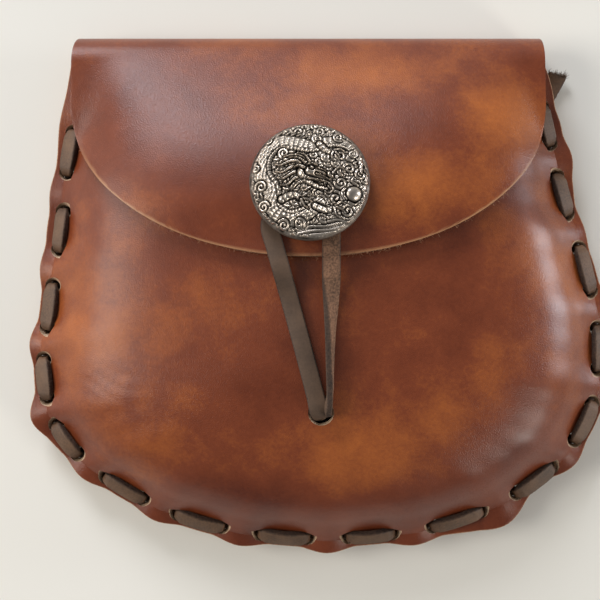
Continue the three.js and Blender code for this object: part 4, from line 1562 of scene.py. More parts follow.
@dataclass(frozen=True)
class EdgeLace:
    """The flat lace in running stitch, with its loose tail at the last hole."""

    form: PouchForm
    half: float = 2.4
    thick: float = 1.6
    squeezed: float = 1.35
    arch: float = 0.5
    lift: float = 1.0
    overhang: float = 0.9
    ragged: float = 0.045
    # Loose fibres on the tail's end
    fibre_count: int = 220
    fibre_root: float = 0.3
    loose: LooseFibres = LooseFibres(radius=0.07, shortest=0.3, longest=0.9)
    # Unevenness of the width from stitch to stitch
    slack: float = 0.16
    slack_turn: float = 2.3
    # Beginning behind the back, and the width there and between two stitches, where 1 is full
    start: float = 7.0
    start_bend: float = 0.4
    start_widths: Pair = (0.8, 0.6)
    behind_width: float = 0.8
    # Height behind the back: share of the room over the table, and the least clearance
    behind_share: float = 0.4
    behind_least: float = 0.1
    # Places along a stitch, and how full the lace stays towards its holes
    stitch_places: tuple[float, ...] = (0.1, 0.2, 0.35, 0.5, 0.65, 0.8, 0.9)
    stitch_fullness: float = 2.6
    flank_steps: int = 97
    hole_along: float = 0.3
    hole_end: float = 0.2
    hole_over: float = 0.5
    hole_over_tilt: float = 30.0
    hole_under: float = 1.15
    hole_under_tilt: float = -8.0
    tail: tuple[TailPlace, ...] = (
        TailPlace(60.6, 51.6, 1.15, 40.0),
        TailPlace(62.2, 54.3, 1.2, 36.0),
        TailPlace(63.7, 57.0, 1.5, 30.0),
        TailPlace(64.6, 59.0, 2.4, 24.0),
    )

    def over_front(self, station: float) -> float:
        """Height of the front's outer face on the hole line."""
        return float(self.form.front_section(np.array(station), np.array(0.0))) + 0.5 * self.form.leather

    def under_back(self, station: float) -> float:
        """Height of the back's outer face on the hole line."""
        return float(self.form.back_height(np.array(station), np.array(0.0))) - 0.5 * self.form.leather

    def behind(self, station: float) -> float:
        """Height of the lace's middle behind the back."""
        room = self.under_back(station) - self.thick - self.form.gap
        return 0.5 * self.thick + max(self.behind_least, self.behind_share * room)

    def lying(self, station: float) -> Triple:
        """Finds how the lace lies half way over a stitch, from the front's margin up onto the dome's flank.

        Args:
            station: the stitch's seam station.

        Returns:
            Distance out of the pouch, height and tilt in degrees, all for the lace's middle.
        """
        form = self.form
        length = np.linalg.norm(form.seam.point(station) - form.spine_point(np.array(station)))
        inner = np.linspace(0.0, 2.0 * self.half, self.flank_steps)
        middle = form.front_section(np.full_like(inner, station), inner / length)
        slope = np.arctan(np.gradient(middle, inner))
        run = self.overhang + inner - 0.5 * form.leather * np.sin(slope)
        rise = middle + 0.5 * form.leather * np.cos(slope) - self.over_front(station)
        k = np.argmin(np.abs(np.hypot(run, rise) - 2.0 * self.half))
        tilt = math.atan2(rise[k], run[k])
        clear = 0.5 * self.thick + form.gap
        outset = self.overhang - 0.5 * run[k] + clear * math.sin(tilt)
        return outset, self.over_front(station) + 0.5 * rise[k] + clear * math.cos(tilt), math.degrees(tilt)

    def place(
        self,
        strip: Strip,
        station: float,
        z: float,
        share: float,
        offset: float = 0.0,
        tilt: float = 0.0,
        outset: float = 0.0,
    ) -> None:
        """Adds one place of the lace.

        Args:
            strip: the strip to add to.
            station: seam station.
            z: height of the lace's middle.
            share: 0 where a hole squeezes it, 1 at its full width.
            offset: distance along the seam.
            tilt: lean of its inner edge upwards, in degrees.
            outset: distance out of the pouch.
        """
        outward = self.form.seam.outward(station)
        plan = self.form.seam.point(station) + self.form.seam.tangent(station) * offset + outward * outset
        lean = math.radians(tilt)
        across = np.array([*(-outward * math.cos(lean)), math.sin(lean)])
        strip.add(np.array([*plan, z]), across, self.squeezed + (self.half - self.squeezed) * share)

    def build(self) -> list[Piece]:
        """Makes the lace and dresses it.

        Returns:
            The finished piece, in a list.
        """
        strip = Strip(thick=self.thick, ragged=self.ragged)
        holes = self.form.seam.holes()
        first, second = self.start_widths
        self.place(strip, holes[0], self.behind(holes[0]), first, offset=-self.start)
        self.place(strip, holes[0], self.behind(holes[0]), second, offset=-self.start_bend * self.start)
        for k in range(0, len(holes), 2):
            begin, stop = holes[k], holes[k + 1]
            self.pass_hole(strip, begin, 1.0)
            middle = 0.5 * (begin + stop)
            outset, lying, tilt = self.lying(middle)
            slack = 1.0 + self.slack * math.sin(self.slack_turn * k)
            for share in self.stitch_places:
                ends = (1.0 - share) * self.over_front(begin) + share * self.over_front(stop) + self.lift
                bow = 1.0 - (2.0 * share - 1.0) ** 2
                z = ends + max(self.arch, lying - ends) * bow
                full = slack * math.sqrt(1.0 - abs(2.0 * share - 1.0) ** self.stitch_fullness)
                lean = self.hole_over_tilt + (tilt - self.hole_over_tilt) * bow
                self.place(strip, begin + (stop - begin) * share, z, full, tilt=lean, outset=outset * bow)
            self.pass_hole(strip, stop, -1.0)
            if k + 2 < len(holes):
                middle = 0.5 * (stop + holes[k + 2])
                self.place(strip, middle, self.behind(middle), self.behind_width, tilt=self.hole_under_tilt)
        self.add_tail(strip, holes[-1])
        lace = strip.build("edge_lace_strip")
        material = LACE_LEATHER.material()
        wear(lace, material)
        smooth_shade(lace)
        join(lace, self.tail_fibres(strip, material))
        dress(lace, Node.LACE)
        return [lace]

    def pass_hole(self, strip: Strip, station: float, way: float) -> None:
        """Takes the lace through one hole.

        Args:
            strip: the strip to add to.
            station: the hole's seam station.
            way: 1 where the lace comes up, -1 where it goes down.
        """
        over = self.over_front(station)
        under = self.under_back(station)
        bends = [
            (-self.hole_end - self.hole_along, under - self.hole_under, self.hole_under_tilt),
            (-self.hole_end, 0.5 * (over + under), 0.0),
            (self.hole_along - self.hole_end, over + self.hole_over, self.hole_over_tilt),
        ]
        for along, z, tilt in bends if way > 0 else reversed(bends):
            self.place(strip, station, z, 0.0, offset=way * along, tilt=tilt)

    def tail_fibres(self, strip: Strip, material: Material) -> Piece:
        """Makes the loose fibres on the tail's cut end.

        Args:
            strip: the lace.
            material: the lace's material.

        Returns:
            All the fibres as one mesh.
        """
        chance = np.random.default_rng(self.fibre_count)
        middle, across, half = strip.route()
        out = (middle[-1] - middle[-2]) / np.linalg.norm(middle[-1] - middle[-2])
        side = chance.uniform(-1.0, 1.0, (self.fibre_count, 1)) * half[-1] * across[-1]
        level = chance.uniform(-0.5, 0.5, (self.fibre_count, 1)) * self.thick * np.cross(out, across[-1])
        roots = middle[-1] - self.fibre_root * out + side + level
        return self.loose.grow("tail_fibres", roots, np.tile(out, (self.fibre_count, 1)), material)

    def add_tail(self, strip: Strip, station: float) -> None:
        """Adds the loose tail, round the back's edge.

        Args:
            strip: the strip to add to.
            station: the last hole.
        """
        outward = self.form.seam.outward(station)
        for row in self.tail:
            turn = math.radians(-row.turn)
            x = -outward[0] * math.cos(turn) + outward[1] * math.sin(turn)
            y = -outward[0] * math.sin(turn) - outward[1] * math.cos(turn)
            strip.add(np.array([row.x, row.y, row.z]), np.array([x, y, 0.0]), self.half)


@dataclass(frozen=True)
class ThongPlace:
    """One place of the thong, with its height over the leather under it and its roll from lying flat."""

    x: float
    y: float
    lift: float
    roll: float


@dataclass(frozen=True)
class ClosureThong:
    """The thong loop, out of the front's hole, round the concho's boss and back, with its knot inside."""

    form: PouchForm
    half: float = 2.25
    thick: float = 1.6
    squeezed: float = 1.3
    hole: Pair = (1.0, -28.9)
    knot_radius: float = 3.4
    knot_below: float = 5.6
    knot_winds: float = 2.5
    knot_groove: float = 0.08
    route: tuple[ThongPlace, ...] = (
        ThongPlace(0.7, -30.1, -5.2, 0.0),
        ThongPlace(0.7, -30.0, -1.2, 0.0),
        ThongPlace(0.5, -28.7, 1.2, 0.0),
        ThongPlace(-0.4, -24.6, 1.5, 0.0),
        ThongPlace(-3.4, -13.0, 1.3, 0.0),
        ThongPlace(-6.95, 0.0, 1.6, 0.0),
        ThongPlace(-8.8, 6.6, 4.1, 0.0),
        ThongPlace(-10.3, 12.0, 1.4, 0.0),
        ThongPlace(-11.5, 17.0, 1.5, 10.0),
        ThongPlace(-9.4, 22.4, 2.2, 55.0),
        ThongPlace(-6.5, 26.7, 2.55, 90.0),
        ThongPlace(-5.2, 30.3, 2.55, 90.0),
        ThongPlace(-1.8, 31.8, 2.55, 90.0),
        ThongPlace(1.6, 30.3, 2.55, 90.0),
        ThongPlace(2.9, 26.7, 2.55, 92.0),
        ThongPlace(3.4, 21.0, 2.2, 130.0),
        ThongPlace(3.4, 15.5, 1.4, 175.0),
        ThongPlace(3.4, 11.0, 1.4, 180.0),
        ThongPlace(3.4, 6.0, 4.1, 172.0),
        ThongPlace(3.4, 0.0, 2.4, 140.0),
        ThongPlace(3.2, -8.0, 2.5, 112.0),
        ThongPlace(3.1, -18.0, 2.5, 98.0),
        ThongPlace(3.1, -24.0, 2.5, 92.0),
        ThongPlace(2.5, -27.4, 2.0, 74.0),
        ThongPlace(2.4, -27.9, -1.2, 50.0),
        ThongPlace(2.3, -28.0, -5.2, 50.0),
    )

    def build(self) -> list[Piece]:
        """Makes the loop and its knot and dresses them.

        Returns:
            The finished piece, in a list.
        """
        x = np.array([row.x for row in self.route])
        y = np.array([row.y for row in self.route])
        z = self.form.outer_height(x, y) + np.array([row.lift for row in self.route])
        points = np.column_stack([x, y, z])
        strip = Strip(thick=self.thick)
        for k, row in enumerate(self.route):
            along = Vector(points[min(k + 1, len(points) - 1)] - points[max(k - 1, 0)]).normalized()
            flat = Vector((0.0, 0.0, 1.0)).cross(along).normalized()
            across = Matrix.Rotation(math.radians(row.roll), 3, along) @ flat
            strip.add(points[k], np.array(across), self.squeezed if row.lift < 0.0 else self.half)
        loop = strip.build("closure_thong_strip")
        thong = join(loop, self.knot())
        wear(thong, THONG_LEATHER.material())
        smooth_shade(thong)
        dress(thong, Node.THONG)
        return [thong]

    def knot(self) -> Piece:
        """Makes the hidden knot, a ball with a winding groove.

        Returns:
            The new object.
        """
        x, y = self.hole
        z = float(self.form.front_height(np.array([x]), np.array([y]))[0]) - self.knot_below
        deselect_all()
        bpy.ops.mesh.primitive_uv_sphere_add(segments=40, ring_count=24, radius=self.knot_radius * MM)
        ball = bpy.context.object
        place = points_of(ball)
        angle = np.arctan2(place[:, 1], place[:, 0])
        groove = np.cos(self.knot_winds * (place[:, 2] / self.knot_radius) * math.pi + angle)
        place *= (1.0 - self.knot_groove + self.knot_groove * groove)[:, None]
        ball.data.vertices.foreach_set("co", ((place + (x, y, z)) * MM).astype(np.float32).ravel())
        ball.data.update()
        paint(ball, "cut", np.clip(-groove, 0.0, 1.0))
        paint(ball, "flesh", np.zeros(len(place)))
        return ball


@dataclass(frozen=True)
class Ridge:
    """A raised stroke of the relief: places on it, its half width at both ends, its height and its ribs."""

    places: tuple[Pair, ...]
    start: float
    stop: float
    height: float
    ribs: float = 0.0


@dataclass(frozen=True)
class Curl:
    """A cloud scroll of the relief: its middle, its radius, where it opens, and which way it winds."""

    x: float
    y: float
    radius: float
    opens: float
    way: float
    winds: float = 1.5
    shrink: float = 0.85
    start: float = 0.4
    stop: float = 0.3
    height: float = 0.75
    steps: int = 16

    def ridge(self) -> Ridge:
        """Draws the scroll as a stroke that winds inwards.

        Returns:
            The stroke.
        """
        places = []
        for k in range(self.steps + 1):
            share = k / self.steps
            turn = math.radians(self.opens) + self.way * share * 2.0 * self.winds * math.pi
            reach = self.radius * (1.0 - self.shrink * share)
            places.append((self.x + reach * math.cos(turn), self.y + reach * math.sin(turn)))
        return Ridge(tuple(places), self.start, self.stop, self.height)


@dataclass(frozen=True)
class Relief:
    """The cast face: a traditional dragon chasing a pearl among clouds and waves."""

    radius: float = 14.15
    cells: int = 420
    groove: float = 0.3
    ground: float = 0.1
    edge: float = 0.35
    # Blackening: how many cells round it looks, the share of a level place, and the depth that adds one
    shade_cells: int = 6
    shade_level: float = 0.42
    shade_depth: float = 0.42
    # Small scrolls on the ground, each turned by the golden angle from the last, by several between rows
    curl_pitch: float = 2.2
    curl_share: float = 0.58
    curl_turn: float = 137.5
    curl_skip: int = 7
    stroke_steps: int = 10
    rib_depth: float = 0.45
    body_steps: int = 40
    body_height: float = 1.0
    # Scales: length, height, columns from the middle to one side, and the curve and fall of each
    scale_long: float = 1.2
    scale_depth: float = 0.48
    scale_columns: float = 2.5
    scale_curve: float = 2.4
    scale_fall: float = 1.6
    skin_level: float = 0.6
    # Belly plates: where they begin across the body, how many to a scale, and the seam along them
    belly_from: float = -0.5
    plate_rate: float = 1.3
    plate_sharpness: int = 3
    seam_half: float = 0.09
    seam_depth: float = 0.5
    # Middle line of the body, from the tail to the neck, with its half width
    body: tuple[Triple, ...] = (
        (12.4, 1.6, 0.35), (11.9, 5.2, 0.8), (8.9, 8.6, 1.2), (4.6, 9.2, 1.5), (0.4, 7.9, 1.7),
        (-3.6, 8.8, 1.9), (-7.8, 8.9, 2.1), (-10.9, 5.6, 2.2), (-11.2, 1.0, 2.3), (-9.0, -2.8, 2.3),
        (-8.6, -7.0, 2.1), (-5.0, -9.6, 2.0), (-0.8, -8.6, 1.8), (2.2, -6.4, 1.5),
    )
    curls: tuple[Curl, ...] = (
        Curl(-7.0, 11.0, 1.5, 200.0, 1.0), Curl(-2.6, 11.9, 1.4, 20.0, -1.0),
        Curl(2.4, 12.0, 1.3, 160.0, 1.0), Curl(7.0, 11.2, 1.3, 10.0, -1.0),
        Curl(12.2, 1.2, 1.4, 90.0, 1.0), Curl(9.4, 2.4, 1.6, 250.0, -1.0),
        Curl(7.4, 5.8, 1.5, 60.0, 1.0), Curl(3.9, 5.2, 1.2, 300.0, -1.0),
        Curl(7.4, -1.2, 1.5, 180.0, 1.0), Curl(6.2, -5.0, 1.7, 100.0, -1.0),
        Curl(9.2, -7.8, 1.7, 30.0, 1.0), Curl(2.6, -5.4, 1.4, 220.0, 1.0),
        Curl(-12.6, -5.4, 1.3, 120.0, 1.0), Curl(-10.0, -8.6, 1.5, 300.0, -1.0),
        Curl(-6.6, -11.2, 1.4, 10.0, 1.0), Curl(-1.4, -6.0, 1.1, 60.0, -1.0),
        Curl(11.6, -6.8, 1.2, 250.0, -1.0), Curl(-3.4, -2.6, 1.1, 30.0, 1.0),
    )
    # Clouds that drift in front of the body
    near_curls: tuple[Curl, ...] = (
        Curl(-9.9, 10.0, 1.4, 40.0, 1.0), Curl(-6.2, 6.3, 1.3, 250.0, -1.0),
        Curl(1.9, 9.9, 1.3, 120.0, 1.0), Curl(6.9, 10.6, 1.3, 300.0, -1.0),
        Curl(-12.9, 2.9, 1.2, 90.0, 1.0), Curl(-11.6, -1.9, 1.5, 200.0, -1.0),
        Curl(-11.0, -6.8, 1.4, 20.0, 1.0), Curl(-6.2, -11.2, 1.4, 140.0, -1.0),
        Curl(-2.4, -10.9, 1.3, 330.0, 1.0), Curl(10.4, 6.4, 1.2, 60.0, -1.0),
    )
    waves: tuple[Ridge, ...] = (
        Ridge(((-4.0, -12.4), (0.0, -11.6), (4.0, -11.4), (8.4, -10.2)), 0.34, 0.3, 0.6),
        Ridge(((-2.8, -13.2), (1.0, -12.5), (4.6, -12.3), (8.0, -11.3)), 0.34, 0.3, 0.55),
        Ridge(((0.2, -13.5), (3.0, -13.2), (6.2, -12.6)), 0.32, 0.28, 0.5),
        Ridge(((4.4, -10.4), (6.8, -9.9), (9.0, -10.3), (10.6, -9.4)), 0.34, 0.26, 0.6),
    )
    limbs: tuple[Ridge, ...] = (
        Ridge(((-6.6, -5.2), (-3.8, -4.2), (-1.9, -5.2)), 1.05, 0.7, 1.1, 5.0),
        Ridge(((-2.0, -5.0), (-0.6, -4.0), (0.9, -4.3)), 0.4, 0.16, 0.95),
        Ridge(((-2.0, -5.2), (-0.2, -5.4), (1.0, -6.3)), 0.4, 0.16, 0.95),
        Ridge(((-2.0, -5.4), (-1.2, -6.8), (-0.2, -7.6)), 0.4, 0.16, 0.95),
        Ridge(((1.4, -7.0), (4.2, -7.9), (6.2, -6.9)), 0.95, 0.6, 1.1, 5.0),
        Ridge(((6.0, -6.8), (7.4, -5.8), (8.4, -6.2)), 0.38, 0.15, 0.95),
        Ridge(((6.0, -7.0), (7.6, -7.4), (8.6, -8.4)), 0.38, 0.15, 0.95),
        Ridge(((5.8, -7.2), (6.2, -8.6), (7.2, -9.4)), 0.38, 0.15, 0.95),
        Ridge(((2.4, 8.4), (4.4, 6.6), (6.0, 6.9)), 0.95, 0.6, 1.15, 5.0),
        Ridge(((5.8, 7.0), (7.4, 7.4), (8.4, 6.6)), 0.36, 0.14, 0.9),
        Ridge(((5.8, 6.8), (6.9, 5.8), (7.0, 4.6)), 0.36, 0.14, 0.9),
        Ridge(((5.6, 6.6), (5.2, 5.4), (5.7, 4.3)), 0.36, 0.14, 0.9),
    )
    mane: tuple[Ridge, ...] = (
        Ridge(((-0.6, 4.2), (-3.2, 5.6), (-6.2, 5.2)), 0.6, 0.2, 1.3),
        Ridge(((-1.2, 3.2), (-3.8, 4.2), (-6.8, 3.2), (-8.4, 3.4)), 0.55, 0.18, 1.25),
        Ridge(((-1.4, 2.2), (-4.0, 2.6), (-6.4, 1.4), (-8.2, 1.6)), 0.55, 0.18, 1.2),
        Ridge(((-1.4, 1.2), (-3.8, 1.2), (-6.2, -0.2), (-7.8, 0.0)), 0.55, 0.18, 1.15),
        Ridge(((-1.2, 0.2), (-3.4, -0.2), (-5.4, -1.8), (-7.0, -1.8)), 0.5, 0.18, 1.1),
        Ridge(((-0.8, -0.8), (-2.6, -1.4), (-4.2, -3.0)), 0.5, 0.18, 1.05),
        Ridge(((0.4, -2.2), (-0.8, -3.0), (-2.4, -3.2)), 0.4, 0.14, 0.95),
        Ridge(((1.6, -2.8), (0.8, -3.6), (1.0, -4.6)), 0.36, 0.14, 0.9),
    )
    head: tuple[Ridge, ...] = (
        Ridge(((-0.9, -0.6), (1.6, -2.2), (4.0, -2.9)), 0.8, 0.45, 1.1, 4.0),
        Ridge(((-1.4, 1.2), (-0.3, 0.7)), 1.7, 1.4, 1.3, 1.0),
        Ridge(((0.0, 1.7), (2.4, 0.9), (4.6, 0.1)), 1.35, 1.0, 1.5),
        Ridge(((-0.4, -0.3), (2.0, -0.8), (4.9, -1.4)), 0.36, 0.3, 1.45),
        Ridge(((1.4, 2.3), (2.9, 1.8), (4.2, 1.2)), 0.3, 0.24, 1.8, 4.0),
        Ridge(((1.6, 0.7), (3.0, 0.3), (4.3, -0.4)), 0.28, 0.2, 1.75, 3.0),
        Ridge(((4.7, 0.7), (5.3, 0.2)), 0.75, 0.55, 1.65),
        Ridge(((0.4, 2.2), (0.7, 2.1)), 0.5, 0.46, 1.8),
        Ridge(((-1.3, 2.9), (0.4, 3.2), (1.8, 2.7)), 0.46, 0.26, 1.9),
        Ridge(((-1.4, 2.3), (-2.7, 2.8), (-3.7, 2.3)), 0.55, 0.15, 1.6),
        Ridge(((-1.0, 3.5), (-2.7, 4.8), (-4.9, 5.0)), 0.5, 0.16, 1.7, 5.0),
        Ridge(((0.0, 3.8), (-1.1, 5.5), (-2.9, 6.2)), 0.46, 0.14, 1.65, 5.0),
        Ridge(((2.4, -1.2), (2.5, -1.9)), 0.22, 0.12, 1.3),
        Ridge(((3.6, -1.5), (3.7, -2.2)), 0.24, 0.12, 1.3),
        Ridge(((5.4, 0.9), (7.0, 2.6), (8.4, 1.6), (8.2, 0.2)), 0.32, 0.16, 1.1),
        Ridge(((4.6, -1.4), (5.6, -2.8), (4.6, -3.8), (3.6, -3.4)), 0.3, 0.16, 1.0),
    )
    pearl: tuple[Ridge, ...] = (
        Ridge(((11.4, -1.6), (10.0, -0.6), (10.6, 0.4)), 0.5, 0.14, 0.8),
        Ridge(((8.4, -2.6), (7.6, -3.6), (8.2, -5.2)), 0.42, 0.14, 0.75),
        Ridge(((9.4, -5.8), (10.8, -6.2), (12.0, -5.4)), 0.42, 0.14, 0.75),
        Ridge(((10.5, -3.7), (10.7, -3.6)), 1.85, 1.8, 1.25),
    )
    # Spines along the back: spacing, length, lift, depth of the foot, half widths, height, and tailward lean
    spine_spacing: float = 1.25
    spine_reach: float = 1.3
    spine_lift: float = 0.7
    spine_foot: float = 0.3
    spine_half: Pair = (0.5, 0.12)
    spine_height: float = 0.8
    spine_lean: int = 12

    def raster(self) -> tuple[Array, Array]:
        """Draws the relief on a square raster.

        Returns:
            Heights, and how deep each place lies in a recess, from 0 to 1.
        """
        line = np.linspace(-self.radius, self.radius, self.cells)
        x, y = np.meshgrid(line, line)
        face = np.full(x.shape, self.ground)
        behind = [curl.ridge() for curl in (*self.ground_curls(), *self.curls)]
        for ridge in (*behind, *self.waves, *self.back_spines()):
            face = self.lay_ridge(face, x, y, ridge)
        face = self.lay_body(face, x, y)
        before = [curl.ridge() for curl in self.near_curls]
        for ridge in (*before, *self.limbs, *self.mane, *self.head, *self.pearl):
            face = self.lay_ridge(face, x, y, ridge)
        inside = smooth_step((self.radius - np.hypot(x, y)) / self.edge)
        face = face * inside
        around = self.blur(face, self.shade_cells)
        recess = np.clip(self.shade_level + (around - face) / self.shade_depth, 0.0, 1.0)
        return self.blur(face, 1), smooth_step(self.blur(recess, 1))

    def ground_curls(self) -> list[Curl]:
        """Fills the ground with small cloud scrolls, in staggered rows.

        Returns:
            The scrolls.
        """
        curls = []
        rows = int(self.radius / self.curl_pitch) + 1
        row_height = self.curl_pitch * math.sqrt(0.75)
        for row in range(-rows, rows + 1):
            for column in range(-rows, rows + 1):
                x = (column + 0.5 * (row % 2)) * self.curl_pitch
                y = row * row_height
                if math.hypot(x, y) < self.radius:
                    turn = self.curl_turn * (self.curl_skip * row + column)
                    way = 1.0 if (row + column) % 2 else -1.0
                    curls.append(Curl(x, y, self.curl_share * self.curl_pitch, turn, way))
        return curls

    def blur(self, face: Array, cells: int) -> Array:
        """Averages the raster over a square of cells each way, twice.

        Args:
            face: the raster.
            cells: the reach.

        Returns:
            The softer raster.
        """
        width = 2 * cells + 1
        for axis in (0, 1, 0, 1):
            count = face.shape[axis]
            first = np.repeat(face.take([0], axis), cells + 1, axis)
            last = np.repeat(face.take([-1], axis), cells, axis)
            total = np.cumsum(np.concatenate([first, face, last], axis), axis)
            face = (total.take(range(width, width + count), axis) - total.take(range(count), axis)) / width
        return face

    def lay(self, face: Array, outside: Array, form: Array) -> Array:
        """Lays a form over the face, with a groove round its foot.

        Args:
            face: heights so far.
            outside: distance from the form's foot, negative on the form.
            form: the form's own heights.

        Returns:
            The new heights.
        """
        around = self.ground + (face - self.ground) * smooth_step(outside / self.groove)
        return np.where(outside < 0.0, form, around)

    def lay_ridge(self, face: Array, x: Array, y: Array, ridge: Ridge) -> Array:
        """Lays one rounded stroke over the face.

        Args:
            face: heights so far.
            x: places across.
            y: places up.
            ridge: the stroke.

        Returns:
            The new heights.
        """
        knots = np.array(ridge.places)
        steps = self.stroke_steps * (len(knots) - 1)
        path = even_curve(knots, np.linspace(0.0, len(knots) - 1, steps + 1))
        half = np.linspace(ridge.start, ridge.stop, steps + 1)
        margin = ridge.start + 2.0 * self.groove
        near = (x > path[:, 0].min() - margin) & (x < path[:, 0].max() + margin)
        near &= (y > path[:, 1].min() - margin) & (y < path[:, 1].max() + margin)
        far = np.hypot(x[near][:, None] - path[:, 0], y[near][:, None] - path[:, 1])
        share = (far / half).min(axis=1)
        outside = (far - half).min(axis=1)
        wave = 0.5 - 0.5 * np.cos(2.0 * math.pi * ridge.ribs * far.argmin(axis=1) / steps)
        form = ridge.height * np.sqrt(np.clip(1.0 - share**2, 0.0, 1.0)) * (1.0 - self.rib_depth * wave)
        laid = face.copy()
        laid[near] = self.lay(face[near], outside, form)
        return laid

    def body_line(self) -> tuple[Array, Array, Array, Array]:
        """Follows the body.

        Returns:
            Places, half widths, lengths from the tail, and directions to its back.
        """
        rows = np.array(self.body)
        last = len(rows) - 1
        line = even_curve(rows, np.linspace(0.0, last, self.body_steps * last + 1))
        along = np.gradient(line[:, :2], axis=0)
        step = np.linalg.norm(along, axis=1)
        along /= step[:, None]
        back = np.stack([along[:, 1], -along[:, 0]], axis=1)
        return line[:, :2], line[:, 2], np.cumsum(step), back

    def lay_body(self, face: Array, x: Array, y: Array) -> Array:
        """Lays the scaled body with its belly plates over the face.

        Args:
            face: heights so far.
            x: places across.
            y: places up.

        Returns:
            The new heights.
        """
        path, half, length, back = self.body_line()
        far = np.full(x.size, np.inf)
        nearest = np.zeros(x.size, int)
        for k in range(len(path)):
            d = np.hypot(x.ravel() - path[k, 0], y.ravel() - path[k, 1]) - half[k]
            closer = d < far
            far[closer] = d[closer]
            nearest[closer] = k
        offset = np.stack([x.ravel(), y.ravel()], axis=1) - path[nearest]
        side = (offset * back[nearest]).sum(axis=1)
        across = np.clip(side / half[nearest], -1.0, 1.0)
        run = length[nearest] / self.scale_long
        cell = across * self.scale_columns + 0.5 * (np.floor(run) % 2)
        bulge = cell - np.round(cell)
        scale = 1.0 - np.mod(run + self.scale_curve * bulge**2, 1.0)
        scale = scale * (1.0 - self.scale_fall * bulge**2)
        plate = 1.0 - np.abs(2.0 * np.mod(self.plate_rate * run, 1.0) - 1.0) ** self.plate_sharpness
        skin = np.where(across < self.belly_from, plate, scale)
        seam = np.clip(1.0 - np.abs(across - self.belly_from) / self.seam_half, 0.0, 1.0)
        dome = self.body_height * np.sqrt(np.clip(1.0 - across**2, 0.0, 1.0))
        form = dome * (1.0 - self.seam_depth * seam) + self.scale_depth * (skin - self.skin_level)
        return self.lay(face.ravel(), far, form).reshape(x.shape)

    def back_spines(self) -> list[Ridge]:
        """Draws the row of spines along the body's back.

        Returns:
            One stroke for each spine.
        """
        path, half, length, back = self.body_line()
        ridges = []
        for at in np.arange(self.spine_spacing, length[-1], self.spine_spacing):
            k = int(np.searchsorted(length, at))
            foot = path[k] + back[k] * (half[k] - self.spine_foot)
            tailward = path[max(k - self.spine_lean, 0)] - path[k]
            lean = tailward / max(np.linalg.norm(tailward), TINY)
            tip = path[k] + back[k] * (half[k] + self.spine_reach * self.spine_lift) + lean * self.spine_reach
            places = (tuple(foot), tuple(0.5 * (foot + tip)), tuple(tip))
            ridges.append(Ridge(places, *self.spine_half, self.spine_height))
        return ridges


